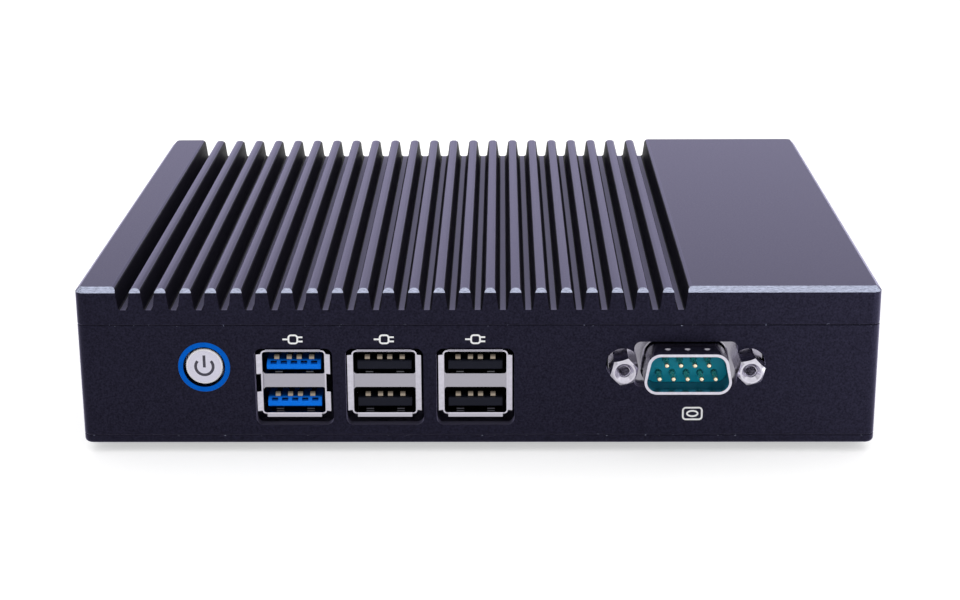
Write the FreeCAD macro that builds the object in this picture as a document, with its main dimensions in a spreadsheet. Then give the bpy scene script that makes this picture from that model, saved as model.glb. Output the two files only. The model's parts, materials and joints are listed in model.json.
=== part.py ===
import FreeCAD, Part
import math
import os
import re

import Sketcher

# A fanless mini computer: a finned aluminium lid over a wall frame and a bottom cover, with the
# mainboard hung upside down from the lid so that its connectors open through the front and rear.
# Millimetres. +Z is up, the front looks along -Y, and the origin is at the middle of the footprint,
# on the surface that the feet stand on.

SIZES = {
    # housing
    "case_width": 160.0,
    "case_depth": 128.0,
    "foot_height": 2.0,
    "cover_thickness": 1.8,
    "frame_height": 23.4,
    "lid_height": 7.8,
    "wall_thickness": 2.0,
    "corner_radius": 2.0,
    "rim_chamfer": 1.05,
    "seam_break": 0.2,
    "cover_edge_radius": 0.8,
    # fins of the lid
    "fin_count": 22,
    "fin_pitch": 5.03,
    "groove_width": 3.06,
    "groove_taper": 0.62,
    "groove_depth": 4.6,
    "fin_drop": 0.25,
    "groove_root_radius": 0.5,
    "block_edge_radius": 0.8,
    "left_block_width": 8.05,
    "thread_floor": 0.6,
    # corner posts, screws and feet
    "post_width": 8.0,
    "post_length": 14.0,
    "lid_screw_offset": 4.0,
    "cover_screw_offset": 10.0,
    "screw_radius": 1.5,
    "screw_clearance": 0.05,
    "lid_screw_grip": 8.0,
    "lid_screw_head_radius": 2.75,
    "lid_screw_head_height": 2.2,
    "counterbore_clearance": 0.35,
    "cover_screw_length": 7.0,
    "cover_screw_head_radius": 2.8,
    "drive_recess_radius": 1.0,
    "drive_recess_depth": 0.9,
    "foot_radius": 6.0,
    "foot_draft": 0.6,
    "foot_inset_side": 20.0,
    "foot_inset_end": 16.0,
    # threaded bushes for a wall or monitor bracket
    "bracket_spacing": 75.0,
    "bracket_bore_radius": 1.65,
    "bush_shank_radius": 2.6,
    "bush_head_radius": 3.6,
    "bush_head_height": 2.2,
    # mainboard and what it carries
    "board_gap": 3.6,
    "board_thickness": 1.6,
    "board_post_gap": 1.0,
    "board_front_gap": 3.5,
    "board_rear_gap": 1.0,
    "spacer_radius": 3.2,
    "spacer_inset_side": 5.0,
    "spacer_inset_end": 26.0,
    "board_screw_head_radius": 2.6,
    "board_screw_head_height": 1.6,
    "part_clearance": 0.2,
    "processor_side": 26.0,
    "processor_height": 1.2,
    "processor_x": -14.0,
    "processor_y": 8.0,
    "heat_block_side": 34.0,
    "thermal_pad_thickness": 0.5,
    "memory_width": 67.6,
    "memory_length": 30.0,
    "memory_x": -26.0,
    "memory_y": -8.0,
    "storage_width": 29.9,
    "storage_length": 50.8,
    "storage_inset": 23.0,
    "storage_y": 2.0,
    "card_thickness": 1.0,
    "card_drop": 2.6,
    "card_bite": 3.6,
    "card_fit": 0.05,
    "socket_depth": 6.0,
    "socket_height": 5.2,
    "socket_overhang": 2.4,
    "chip_width": 9.0,
    "chip_length": 10.8,
    "chip_shift": 5.0,
    "chip_height": 0.9,
    "standoff_radius": 2.2,
    "coin_cell_radius": 10.0,
    "coin_cell_height": 3.2,
    "coin_cell_gap": 5.35,
    "coin_cell_y": 26.0,
    "holder_wall": 1.3,
    "holder_floor": 1.2,
    # power button
    "button_inset": 25.2,
    "button_drop": 3.6,
    "button_cap_radius": 3.75,
    "button_cap_recess": 0.35,
    "button_edge_radius": 0.35,
    "button_gap": 0.3,
    "button_travel": 0.6,
    "button_flange_radius": 4.8,
    "button_flange_thickness": 0.8,
    "button_stem_radius": 1.6,
    "button_stem_length": 1.2,
    "ring_radius": 5.2,
    "ring_bore_radius": 4.15,
    "ring_clearance": 0.05,
    "ring_flange_radius": 6.3,
    "ring_flange_thickness": 1.2,
    "plunger_radius": 1.7,
    "plunger_out": 1.4,
    "plunger_in": 1.0,
    "switch_width": 6.4,
    "switch_depth": 3.8,
    "switch_below": 3.0,
    "led_width": 3.0,
    "led_depth": 1.2,
    "led_height": 1.6,
    "led_offset": 5.4,
    # stacked plug sockets on the front
    "button_to_socket": 17.9,
    "socket_pitch": 18.2,
    "port_proud": 0.6,
    "port_width": 12.45,
    "port_height": 5.05,
    "port_divider": 2.85,
    "divider_setback": 1.2,
    "port_depth": 12.0,
    "sleeve_wall": 0.3,
    "sleeve_corner": 0.9,
    "sleeve_back": 4.5,
    "insulator_fit": 0.05,
    "tongue_width": 10.8,
    "tongue_thickness": 1.8,
    "tongue_rise": 1.0,
    "tongue_setback": 1.3,
    "tongue_bevel": 0.2,
    "fast_bevel": 0.8,
    "contact_thickness": 0.15,
    "contact_width": 1.0,
    "contact_setback": 1.2,
    "contact_slope": 0.35,
    "contact_fall": 2.2,
    "contact_rise": 0.7,
    "contact_length": 5.4,
    "contact_inner": 1.0,
    "contact_outer": 3.5,
    "window_width": 1.28,
    "window_length": 4.0,
    "window_height": 0.55,
    "window_drop": 0.15,
    "window_pitch": 2.03,
    "fast_contact_width": 0.8,
    "fast_contact_length": 2.4,
    "flap_reach": 0.85,
    "flap_depth": 0.4,
    "flap_margin": 0.9,
    "flap_split": 0.75,
    "top_lip_reach": 0.3,
    "bottom_flap_reach": 0.45,
    "cutout_rise": 0.3,
    "cutout_drop": 2.45,
    "cutout_side": 1.28,
    "cutout_radius": 1.5,
    # serial connector on the front
    "serial_inset": 38.5,
    "serial_drop": 3.1,
    "serial_reach": 6.0,
    "serial_width": 18.2,
    "serial_height": 8.4,
    "serial_taper": 1.5,
    "serial_corner": 2.6,
    "serial_wall": 0.55,
    "serial_root_radius": 0.5,
    "serial_dimple_radius": 1.06,
    "serial_dimple_depth": 0.4,
    "serial_dimple_pitch": 3.9,
    "serial_dimple_setback": 2.8,
    "serial_face_depth": 5.4,
    "serial_ledge_height": 1.5,
    "serial_ledge_depth": 0.35,
    "serial_flange_width": 30.8,
    "serial_flange_height": 12.5,
    "serial_flange_thickness": 0.8,
    "serial_flange_corner": 1.5,
    "serial_back_depth": 6.0,
    "serial_back_width": 19.0,
    "serial_back_height": 10.0,
    "serial_pin_radius": 0.5,
    "serial_pin_pitch": 2.77,
    "serial_row_half": 1.42,
    "serial_pin_recess": 0.9,
    "serial_pin_fit": 0.02,
    "serial_pin_well_radius": 0.72,
    "serial_pin_well_depth": 0.4,
    "serial_pin_tip_radius": 0.45,
    "serial_cutout_width": 20.6,
    "serial_cutout_height": 9.6,
    "serial_cutout_corner": 1.4,
    "serial_board_width": 33.0,
    "serial_board_height": 13.0,
    "serial_notch_clearance": 2.0,
    "jackscrew_spacing": 25.0,
    "jackscrew_flats": 5.0,
    "jackscrew_turn": 15.0,
    "jackscrew_length": 7.0,
    "jackscrew_bore_radius": 1.2,
    "jackscrew_bore_depth": 5.0,
    "jackscrew_mouth_radius": 1.9,
    "jackscrew_rim": 0.25,
    "jackscrew_stud_radius": 1.4,
    "jackscrew_stud_length": 2.4,
    "jackscrew_hole_clearance": 0.5,
    # rear connectors
    "dc_jack_inset": 22.0,
    "dc_jack_width": 9.0,
    "dc_jack_height": 11.0,
    "dc_jack_depth": 14.0,
    "dc_jack_drop": 6.5,
    "dc_nose_radius": 4.0,
    "dc_bore_radius": 3.15,
    "dc_bore_depth": 10.5,
    "dc_pin_radius": 1.05,
    "dc_pin_recess": 1.4,
    "rear_clearance": 0.25,
    "dc_jack_to_video": 22.0,
    "video_width": 15.0,
    "video_height": 5.6,
    "video_slope": 1.6,
    "video_depth": 11.5,
    "video_wall": 0.35,
    "video_back": 3.5,
    "video_tongue_width": 11.2,
    "video_tongue_thickness": 1.3,
    "video_tongue_setback": 1.0,
    "video_to_lan": 24.0,
    "lan_pitch": 18.5,
    "lan_width": 16.0,
    "lan_height": 13.4,
    "lan_depth": 21.0,
    "lan_wall": 0.4,
    "lan_cavity_width": 11.8,
    "lan_cavity_height": 6.9,
    "lan_cavity_depth": 13.0,
    "lan_cavity_drop": 2.4,
    "lan_notch_width": 6.3,
    "lan_notch_depth": 1.6,
    "lan_key_width": 3.9,
    "lan_key_depth": 1.2,
    "lan_contact_pitch": 1.02,
    "lan_contact_width": 0.45,
    "lan_contact_length": 8.0,
    "lan_contact_setback": 3.0,
    "lan_contact_lift": 1.6,
}

# Places that follow from the sizes, each written once and used by every piece that meets there.
PLACES = {
    "cover_top": "foot_height + cover_thickness",
    "frame_top": "cover_top + frame_height",
    "lid_top": "frame_top + lid_height",
    "front_y": "(serial_reach - port_proud - case_depth) / 2",
    "rear_y": "front_y + case_depth",
    "middle_y": "front_y + case_depth / 2",
    "inside_front_y": "front_y + wall_thickness",
    "inside_rear_y": "rear_y - wall_thickness",
    "board_top": "frame_top - board_gap",
    "board_bottom": "board_top - board_thickness",
    "board_front_y": "inside_front_y + board_front_gap",
    "board_rear_y": "inside_rear_y - board_rear_gap",
    "post_x": "case_width / 2 - wall_thickness - post_width / 2",
    "board_width": "2 * (post_x - post_width / 2 - board_post_gap)",
    "screw_hole_radius": "screw_radius + screw_clearance",
    "thread_depth": "lid_height - groove_depth - thread_floor",
    "counterbore_radius": "lid_screw_head_radius + counterbore_clearance",
    "countersink_height": "cover_screw_head_radius - screw_radius",
    "spacer_x": "board_width / 2 - spacer_inset_side",
    "spacer_front_y": "board_front_y + spacer_inset_end",
    "spacer_rear_y": "board_rear_y - spacer_inset_end",
    "first_groove_x": "left_block_width + groove_width / 2 - case_width / 2",
    "last_groove_x": "first_groove_x + fin_count * fin_pitch",
    "groove_floor": "lid_top - groove_depth",
    "fin_top": "lid_top - fin_drop",
    # half widths of a groove at its floor and at the fin tips
    "groove_foot": "groove_width / 2 - groove_taper",
    "groove_mouth": "groove_width / 2 - groove_taper * fin_drop / groove_depth",
    "fin_width": "fin_pitch - 2 * groove_mouth",
    # just under half the width, so that a fin ends almost fully round
    "fin_tip_radius": "0.48 * fin_width",
    "storage_x": "board_width / 2 - storage_inset",
    "storage_socket_left": "storage_x - storage_width / 2 - socket_overhang",
    "coin_cell_x": "storage_socket_left - coin_cell_gap - holder_wall - coin_cell_radius",
    "button_x": "button_inset - case_width / 2",
    "button_z": "board_bottom - button_drop",
    "ring_back": "wall_thickness + ring_flange_thickness",
    "cap_flange_front": "ring_back + button_gap",
    "cap_flange_back": "cap_flange_front + button_flange_thickness",
    "stem_end": "cap_flange_back + button_stem_length",
    "switch_front": "stem_end + plunger_out",
    "socket_first_x": "button_x + button_to_socket",
    "sleeve_width": "port_width + 2 * sleeve_wall",
    "sleeve_height": "2 * port_height + port_divider + 2 * sleeve_wall",
    "sleeve_depth": "port_depth + sleeve_back",
    "port_corner": "sleeve_corner - sleeve_wall",
    "tongue_top": "tongue_rise + tongue_thickness",
    "window_floor": "tongue_top - window_drop - window_height",
    "upper_port_bottom": "-sleeve_wall - port_height",
    "lower_port_bottom": "upper_port_bottom - port_divider - port_height",
    "serial_x": "case_width / 2 - serial_inset",
    "serial_z": "board_bottom - serial_drop",
    "serial_flange_back": "wall_thickness + serial_flange_thickness",
    "serial_back": "serial_flange_back + serial_back_depth",
    "serial_face": "serial_face_depth - serial_reach",
    "serial_floor": "serial_wall + insulator_fit - serial_height / 2",
    "jackscrew_point": "jackscrew_flats / 2 / cos(30)",
    "serial_board_back": "serial_back + board_thickness",
    "serial_notch_half": "serial_flange_width / 2 + serial_notch_clearance",
    "notch_back_y": "front_y + serial_board_back + part_clearance",
    "dc_jack_x": "case_width / 2 - dc_jack_inset",
    "video_x": "dc_jack_x - dc_jack_to_video",
    "lan_first_x": "video_x - video_to_lan",
    "lan_inner_width": "lan_width - 2 * lan_wall",
    "lan_cavity_bottom": "-lan_cavity_drop - lan_cavity_height",
}

# How far a cutter reaches past the faces that it opens, and past a rounded edge that it follows.
CUT_OVER = 1.0
LIP_OVER = 0.1

document = FreeCAD.newDocument("fanless_mini_pc")
sheet = document.addObject("Spreadsheet::Sheet", "Sizes")
for row, (alias, size) in enumerate(SIZES.items(), start=1):
    sheet.set(f"A{row}", alias)
    sheet.set(f"B{row}", str(size))
    sheet.setAlias(f"B{row}", alias)
document.recompute()

nodes = []


# Expressions


def full(expression):
    """Spell out an expression: a place becomes its formula, and a size gets the sheet's name."""
    def spell(match):
        word = match.group()
        if word in PLACES:
            return f"({full(PLACES[word])})"
        if word in SIZES:
            return f"Sizes.{word}"
        return word
    return re.sub(r"[a-z][a-z_]*", spell, str(expression))


def number(expression):
    """Give an expression's present value."""
    return float(sheet.evalExpression(full(expression)))


def bind(item, **expressions):
    """Tie properties of an object to expressions."""
    for name, expression in expressions.items():
        item.setExpression(name, full(expression))


def place(item, x=0, y=0, z=0):
    """Tie an object's position to expressions."""
    for axis, expression in zip("xyz", (x, y, z)):
        item.setExpression(f"Placement.Base.{axis}", full(expression))


# Bodies and sketches


def new_body(label):
    """Start a piece that is built up feature by feature."""
    body = document.addObject("PartDesign::Body", label)
    body.Label = label
    return body


def turn_round(body):
    """Face a connector to the rear."""
    body.Placement = FreeCAD.Placement(FreeCAD.Vector(), FreeCAD.Rotation(FreeCAD.Vector(0, 0, 1), 180))


def new_sketch(body, role, lift="0"):
    """Lay a sketch on one of the body's own planes, lifted along that plane's normal."""
    plane = next(item for item in body.Origin.OriginFeatures if item.Role == role)
    sketch = body.newObject("Sketcher::SketchObject", f"{body.Name}_sketch")
    sketch.AttachmentSupport = [(plane, "")]
    sketch.MapMode = "FlatFace"
    sketch.setExpression("AttachmentOffset.Base.z", full(lift))
    return sketch


def flat_sketch(body, height="0"):
    """Sketch seen from above, at a height."""
    return new_sketch(body, "XY_Plane", height)


def front_sketch(body, depth="0"):
    """Sketch seen from the front, at a distance along +Y."""
    return new_sketch(body, "XZ_Plane", f"-({depth})")


def side_sketch(body):
    """Sketch in the plane of symmetry, seen from the right: across is Y and up is Z."""
    return new_sketch(body, "YZ_Plane")


def drive(sketch, kind, *terms, expression):
    """Add one driven dimension to a sketch."""
    index = sketch.addConstraint(Sketcher.Constraint(kind, *terms, number(expression)))
    sketch.setExpression(f"Constraints[{index}]", full(expression))


def pin(sketch, geometry, point, across, up):
    """Fix a point of a sketch by its two distances from the sketch's origin."""
    drive(sketch, "DistanceX", -1, 1, geometry, point, expression=across)
    drive(sketch, "DistanceY", -1, 1, geometry, point, expression=up)


def circle(sketch, across, up, radius):
    """Draw a circle."""
    centre = FreeCAD.Vector(number(across), number(up), 0)
    ring = sketch.addGeometry(Part.Circle(centre, FreeCAD.Vector(0, 0, 1), number(radius)))
    pin(sketch, ring, 3, across, up)
    drive(sketch, "Radius", ring, expression=radius)


def corner_arc(before, corner, after, radius):
    """Work out the arc that rounds a corner: where it starts and ends, its circle and its turn."""
    back = (before - corner).normalize()
    ahead = (after - corner).normalize()
    half_angle = back.getAngle(ahead) / 2
    reach = radius / math.tan(half_angle)
    enter = corner + back * reach
    leave = corner + ahead * reach
    centre = corner + (back + ahead).normalize() * (radius / math.sin(half_angle))
    turns_left = back.cross(ahead).z < 0
    first, last = (enter, leave) if turns_left else (leave, enter)
    angles = [math.atan2(point.y - centre.y, point.x - centre.x) for point in (first, last)]
    arc = Part.ArcOfCircle(Part.Circle(centre, FreeCAD.Vector(0, 0, 1), radius), *angles)
    return enter, leave, arc, turns_left


def outline(sketch, corners):
    """Draw a closed outline through corners (across, up) or, where rounded, (across, up, radius)."""
    count = len(corners)
    points = [FreeCAD.Vector(number(corner[0]), number(corner[1]), 0) for corner in corners]
    enters, leaves, arcs = list(points), list(points), {}
    for i, corner in enumerate(corners):
        if len(corner) == 3:
            shape = corner_arc(points[i - 1], points[i], points[(i + 1) % count], number(corner[2]))
            enters[i], leaves[i] = shape[:2]
            arcs[i] = shape[2:]
    lines = []
    for i in range(count):
        lines.append(sketch.addGeometry(Part.LineSegment(leaves[i], enters[(i + 1) % count])))
    for i, corner in enumerate(corners):
        if i not in arcs:
            sketch.addConstraint(Sketcher.Constraint("Coincident", lines[i - 1], 2, lines[i], 1))
            pin(sketch, lines[i], 1, corner[0], corner[1])
            continue
        curve, turns_left = arcs[i]
        arc = sketch.addGeometry(curve)
        arc_in, arc_out = (1, 2) if turns_left else (2, 1)
        sketch.addConstraint(Sketcher.Constraint("Tangent", lines[i - 1], 2, arc, arc_in))
        sketch.addConstraint(Sketcher.Constraint("Tangent", arc, arc_out, lines[i], 1))
        drive(sketch, "Radius", arc, expression=corner[2])
        tip = sketch.addGeometry(Part.Point(points[i]), True)
        sketch.addConstraint(Sketcher.Constraint("PointOnObject", tip, 1, lines[i - 1]))
        sketch.addConstraint(Sketcher.Constraint("PointOnObject", tip, 1, lines[i]))
        pin(sketch, tip, 1, corner[0], corner[1])


def rectangle(sketch, left, right, low, high, radius=None):
    """Draw a rectangle, with rounded corners where a radius is given."""
    round_off = () if radius is None else (radius,)
    outline(sketch, [(x, y) + round_off for x, y in ((left, low), (right, low), (right, high), (left, high))])


def centred(sketch, across, up, width, height, radius=None):
    """Draw a rectangle about its middle."""
    rectangle(sketch, f"{across} - ({width}) / 2", f"{across} + ({width}) / 2",
              f"{up} - ({height}) / 2", f"{up} + ({height}) / 2", radius)


# Features


def pad(body, sketch, length, against=False, both_ways=False):
    """Raise a sketch along its normal, against it or evenly both ways."""
    feature = body.newObject("PartDesign::Pad", f"{body.Name}_pad")
    feature.Profile = sketch
    feature.Reversed = against
    if both_ways:
        feature.SideType = "Symmetric"
    bind(feature, Length=length)
    document.recompute()
    return feature


def pocket(body, sketch, depth=None, along=False):
    """Cut a sketch away against its normal or along it, to a depth or right through both ways."""
    before = body.Tip.Shape.Volume
    feature = body.newObject("PartDesign::Pocket", f"{body.Name}_pocket")
    feature.Profile = sketch
    feature.Reversed = along
    if depth is None:
        feature.Type = "ThroughAll"
        feature.SideType = "Symmetric"
    else:
        bind(feature, Length=depth)
    document.recompute()
    if feature.Shape.isNull() or feature.Shape.Volume >= before:
        raise RuntimeError(f"a pocket of {body.Label} cuts nothing")
    return feature


def turned(body, corners, role="XZ_Plane"):
    """Turn a half section, given as radius and height, about the sketch's upright axis."""
    sketch = new_sketch(body, role)
    outline(sketch, corners)
    feature = body.newObject("PartDesign::Revolution", f"{body.Name}_turned")
    feature.Profile = sketch
    feature.ReferenceAxis = (sketch, ["V_Axis"])
    feature.Angle = 360
    document.recompute()


def round_uprights(body, feature, radius):
    """Round the upright edges of a padded block."""
    names = []
    for index, edge in enumerate(feature.Shape.Edges, start=1):
        run = edge.Vertexes[-1].Point - edge.Vertexes[0].Point
        if math.hypot(run.x, run.y) < 1e-6:
            names.append(f"Edge{index}")
    fillet = body.newObject("PartDesign::Fillet", f"{body.Name}_fillet")
    fillet.Base = (feature, names)
    bind(fillet, Radius=radius)
    document.recompute()


def finish_rim(body, height, kind, **size):
    """Bevel or round the rim of a block at a height."""
    level = number(height)
    names = []
    for index, edge in enumerate(body.Tip.Shape.Edges, start=1):
        if all(abs(vertex.Point.z - level) < 1e-6 for vertex in edge.Vertexes):
            names.append(f"Edge{index}")
    rim = body.newObject(f"PartDesign::{kind}", f"{body.Name}_rim")
    rim.Base = (rim.BaseFeature, names)
    bind(rim, **size)
    document.recompute()


def cut_turned(body, corners):
    """Turn a half section about the body's Y axis and cut it away."""
    before = body.Tip.Shape.Volume
    sketch = new_sketch(body, "XY_Plane")
    outline(sketch, corners)
    feature = body.newObject("PartDesign::Groove", f"{body.Name}_turned_cut")
    feature.Profile = sketch
    feature.ReferenceAxis = (sketch, ["V_Axis"])
    feature.Angle = 360
    document.recompute()
    if feature.Shape.isNull() or feature.Shape.Volume >= before:
        raise RuntimeError(f"a turned cut of {body.Label} cuts nothing")


def box(label, x, y, z, width, depth, height):
    """Make a block from its lowest corner."""
    block = document.addObject("Part::Box", label)
    bind(block, Length=width, Width=depth, Height=height)
    place(block, x, y, z)
    return block


def keep(item, label):
    """Name a finished piece and hand it over for writing."""
    item.Label = label
    nodes.append(item)
    return item


def group(label, items):
    """Keep several like solids as one node."""
    compound = document.addObject("Part::Compound", label)
    compound.Links = items
    return keep(compound, label)


def set_copies(master, places):
    """Set copies of one solid at several places."""
    links = []
    for x, y, z in places:
        link = document.addObject("App::Link", f"{master.Name}_copy")
        link.LinkedObject = master
        place(link, x, y, z)
        links.append(link)
    return links


def copies(label, master, places):
    """Set copies of one solid at several places and keep them as one node."""
    return group(label, set_copies(master, places))


def corners_of(x, front, rear, z):
    """List four places, left and right at the front and at the rear."""
    return [(side, y, z) for side in (f"-({x})", x) for y in (front, rear)]


# Lid with cooling fins


def end_groove(sketch, x, side):
    """Outer half of the first or last groove, up to the rounded edge of the plain block beside it."""
    foot = f"{x} + {side} * groove_foot"
    edge = f"{x} + {side} * groove_width / 2"
    lip = f"{x} + {side} * (groove_width / 2 + block_edge_radius + {LIP_OVER})"
    inside = f"{x} - {side} * {LIP_OVER}"
    corners = [
        (foot, "groove_floor", "groove_root_radius"),
        (edge, "lid_top", "block_edge_radius"),
        (lip, "lid_top"),
        (lip, f"lid_top + {CUT_OVER}"),
        (inside, f"lid_top + {CUT_OVER}"),
        (inside, "groove_floor"),
    ]
    outline(sketch, corners if side > 0 else corners[::-1])


def first_fin(sketch):
    """What is cut away round the first fin, between the middles of the grooves on its two sides."""
    left_foot = "first_groove_x + groove_foot"
    left_tip = "first_groove_x + groove_mouth"
    right_tip = f"{left_tip} + fin_width"
    right_foot = "first_groove_x + fin_pitch - groove_foot"
    before = f"first_groove_x - {LIP_OVER}"
    after = f"first_groove_x + fin_pitch + {LIP_OVER}"
    outline(sketch, [
        (before, "groove_floor"),
        (left_foot, "groove_floor", "groove_root_radius"),
        (left_tip, "fin_top", "fin_tip_radius"),
        (right_tip, "fin_top", "fin_tip_radius"),
        (right_foot, "groove_floor", "groove_root_radius"),
        (after, "groove_floor"),
        (after, f"lid_top + {CUT_OVER}"),
        (before, f"lid_top + {CUT_OVER}"),
    ])


def top_heatsink():
    """Finned lid: a slab with a bevelled rim, tapered round-tipped fins and threads underneath."""
    body = new_body("top_heatsink")
    plan = flat_sketch(body, "frame_top")
    rectangle(plan, "-case_width / 2", "case_width / 2", "front_y", "rear_y")
    round_uprights(body, pad(body, plan, "lid_height"), "corner_radius")
    finish_rim(body, "frame_top", "Chamfer", Size="seam_break")
    finish_rim(body, "lid_top", "Chamfer", Size="rim_chamfer")

    ends = front_sketch(body)
    end_groove(ends, "first_groove_x", -1)
    end_groove(ends, "last_groove_x", 1)
    pocket(body, ends)
    fin = front_sketch(body)
    first_fin(fin)
    first = pocket(body, fin)
    rest = body.newObject("PartDesign::LinearPattern", "fin_pattern")
    rest.Originals = [first]
    rest.Direction = (fin, ["H_Axis"])
    bind(rest, Length="fin_pitch * (fin_count - 1)", Occurrences="fin_count")
    body.Tip = rest
    document.recompute()

    threads = flat_sketch(body, "frame_top")
    for x, y, _ in lid_screw_places() + board_screw_places():
        circle(threads, x, y, "screw_hole_radius")
    pocket(body, threads, "thread_depth", along=True)
    keep(body, "top_heatsink")


# Wall frame, corner posts and bottom cover


def lid_screw_places(z="frame_top - lid_screw_grip"):
    """Places of the screws that hold the lid on the corner posts."""
    return corners_of("post_x", "inside_front_y + lid_screw_offset",
                      "inside_rear_y - lid_screw_offset", z)


def cover_screw_places(z="foot_height"):
    """Places of the screws that hold the bottom cover on the corner posts."""
    return corners_of("post_x", "inside_front_y + cover_screw_offset",
                      "inside_rear_y - cover_screw_offset", z)


def board_screw_places(z="board_bottom"):
    """Places of the screws that hang the mainboard from the lid."""
    return corners_of("spacer_x", "spacer_front_y", "spacer_rear_y", z)


def bracket_places(z="foot_height"):
    """Places of the four threaded bushes for a bracket."""
    return corners_of("bracket_spacing / 2", "middle_y - bracket_spacing / 2",
                      "middle_y + bracket_spacing / 2", z)


def socket_x(index):
    """Middle of one stacked socket, counted from the left."""
    return f"socket_first_x + {index} * socket_pitch"


def lan_x(index):
    """Middle of one network socket, counted towards the left seen from the front."""
    return f"lan_first_x - {index} * lan_pitch"


def chassis_frame():
    """Wall frame: four walls in one piece, cut out for the button and the connectors."""
    body = new_body("chassis_frame")
    plan = flat_sketch(body, "cover_top")
    rectangle(plan, "-case_width / 2", "case_width / 2", "front_y", "rear_y")
    round_uprights(body, pad(body, plan, "frame_height"), "corner_radius")
    for height in ("cover_top", "frame_top"):
        finish_rim(body, height, "Chamfer", Size="seam_break")
    hollow = flat_sketch(body, "cover_top")
    half_inside = "case_width / 2 - wall_thickness"
    rectangle(hollow, f"-({half_inside})", half_inside, "inside_front_y", "inside_rear_y")
    pocket(body, hollow, "frame_height", along=True)

    front = front_sketch(body, "front_y")
    circle(front, "button_x", "button_z", "ring_radius + ring_clearance")
    for index in range(3):
        rectangle(front, f"{socket_x(index)} - sleeve_width / 2 - cutout_side",
                  f"{socket_x(index)} + sleeve_width / 2 + cutout_side",
                  "board_bottom - sleeve_height - cutout_drop", "board_bottom + cutout_rise",
                  "cutout_radius")
    centred(front, "serial_x", "serial_z", "serial_cutout_width", "serial_cutout_height",
            "serial_cutout_corner")
    pocket(body, front, "wall_thickness")
    nut_holes = front_sketch(body, "front_y")
    for side in (1, -1):
        circle(nut_holes, f"serial_x + {side} * jackscrew_spacing / 2", "serial_z",
               "jackscrew_point + jackscrew_hole_clearance")
    pocket(body, nut_holes, "wall_thickness")

    rear = front_sketch(body, "rear_y")
    circle(rear, "dc_jack_x", "board_bottom - dc_jack_drop", "dc_nose_radius + rear_clearance")
    rectangle(rear, "video_x - video_width / 2 - rear_clearance",
              "video_x + video_width / 2 + rear_clearance",
              "board_bottom - video_height - rear_clearance", "board_bottom + rear_clearance")
    for index in range(2):
        rectangle(rear, f"{lan_x(index)} - lan_width / 2 - rear_clearance",
                  f"{lan_x(index)} + lan_width / 2 + rear_clearance",
                  "board_bottom - lan_height - rear_clearance", "board_bottom + rear_clearance")
    pocket(body, rear, "wall_thickness", along=True)
    keep(body, "chassis_frame")


def corner_posts():
    """Four posts in the corners: the lid screws reach up through them, the cover screws bite in them."""
    body = new_body("corner_posts")
    plan = flat_sketch(body, "cover_top")
    for side in (1, -1):
        for y in ("inside_front_y + post_length / 2", "inside_rear_y - post_length / 2"):
            centred(plan, f"{side} * post_x", y, "post_width", "post_length")
    pad(body, plan, "frame_height")
    lid_holes = flat_sketch(body, "cover_top")
    for x, y, _ in lid_screw_places():
        circle(lid_holes, x, y, "screw_hole_radius")
    pocket(body, lid_holes)
    head_holes = flat_sketch(body, "cover_top")
    for x, y, _ in lid_screw_places():
        circle(head_holes, x, y, "counterbore_radius")
    pocket(body, head_holes, "frame_height - lid_screw_grip", along=True)
    cover_holes = flat_sketch(body, "cover_top")
    for x, y, _ in cover_screw_places():
        circle(cover_holes, x, y, "screw_hole_radius")
    pocket(body, cover_holes, f"cover_screw_length - cover_thickness + {CUT_OVER}", along=True)
    keep(body, "corner_posts")


def bottom_cover():
    """Flat cover with countersunk screw holes, and four threaded bushes pressed into it."""
    body = new_body("bottom_cover")
    plan = flat_sketch(body, "foot_height")
    rectangle(plan, "-case_width / 2", "case_width / 2", "front_y", "rear_y")
    round_uprights(body, pad(body, plan, "cover_thickness"), "corner_radius")
    finish_rim(body, "cover_top", "Chamfer", Size="seam_break")
    finish_rim(body, "foot_height", "Fillet", Radius="cover_edge_radius")
    bush_holes = flat_sketch(body, "foot_height")
    for x, y, _ in bracket_places():
        circle(bush_holes, x, y, "bush_shank_radius + screw_clearance")
    pocket(body, bush_holes)
    holes = flat_sketch(body, "foot_height")
    for x, y, _ in cover_screw_places():
        circle(holes, x, y, "screw_hole_radius")
    hole = body.newObject("PartDesign::Hole", "cover_screw_holes")
    hole.Profile = holes
    document.recompute()
    hole.DepthType = "ThroughAll"
    hole.Reversed = True
    hole.HoleCutType = "Countersink"
    hole.HoleCutCustomValues = True
    hole.HoleCutCountersinkAngle = 90
    bind(hole, Diameter="2 * screw_hole_radius",
         HoleCutDiameter="2 * (cover_screw_head_radius + screw_clearance)")
    document.recompute()
    keep(body, "bottom_cover")
    bush = new_body("bracket_bush")
    bush_top = "cover_thickness + bush_head_height"
    turned(bush, [
        ("bracket_bore_radius", "0"),
        ("bush_shank_radius", "0"),
        ("bush_shank_radius", "cover_thickness"),
        ("bush_head_radius", "cover_thickness"),
        ("bush_head_radius", bush_top),
        ("bracket_bore_radius", bush_top),
    ])
    copies("bracket_bushes", bush, bracket_places())


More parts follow.
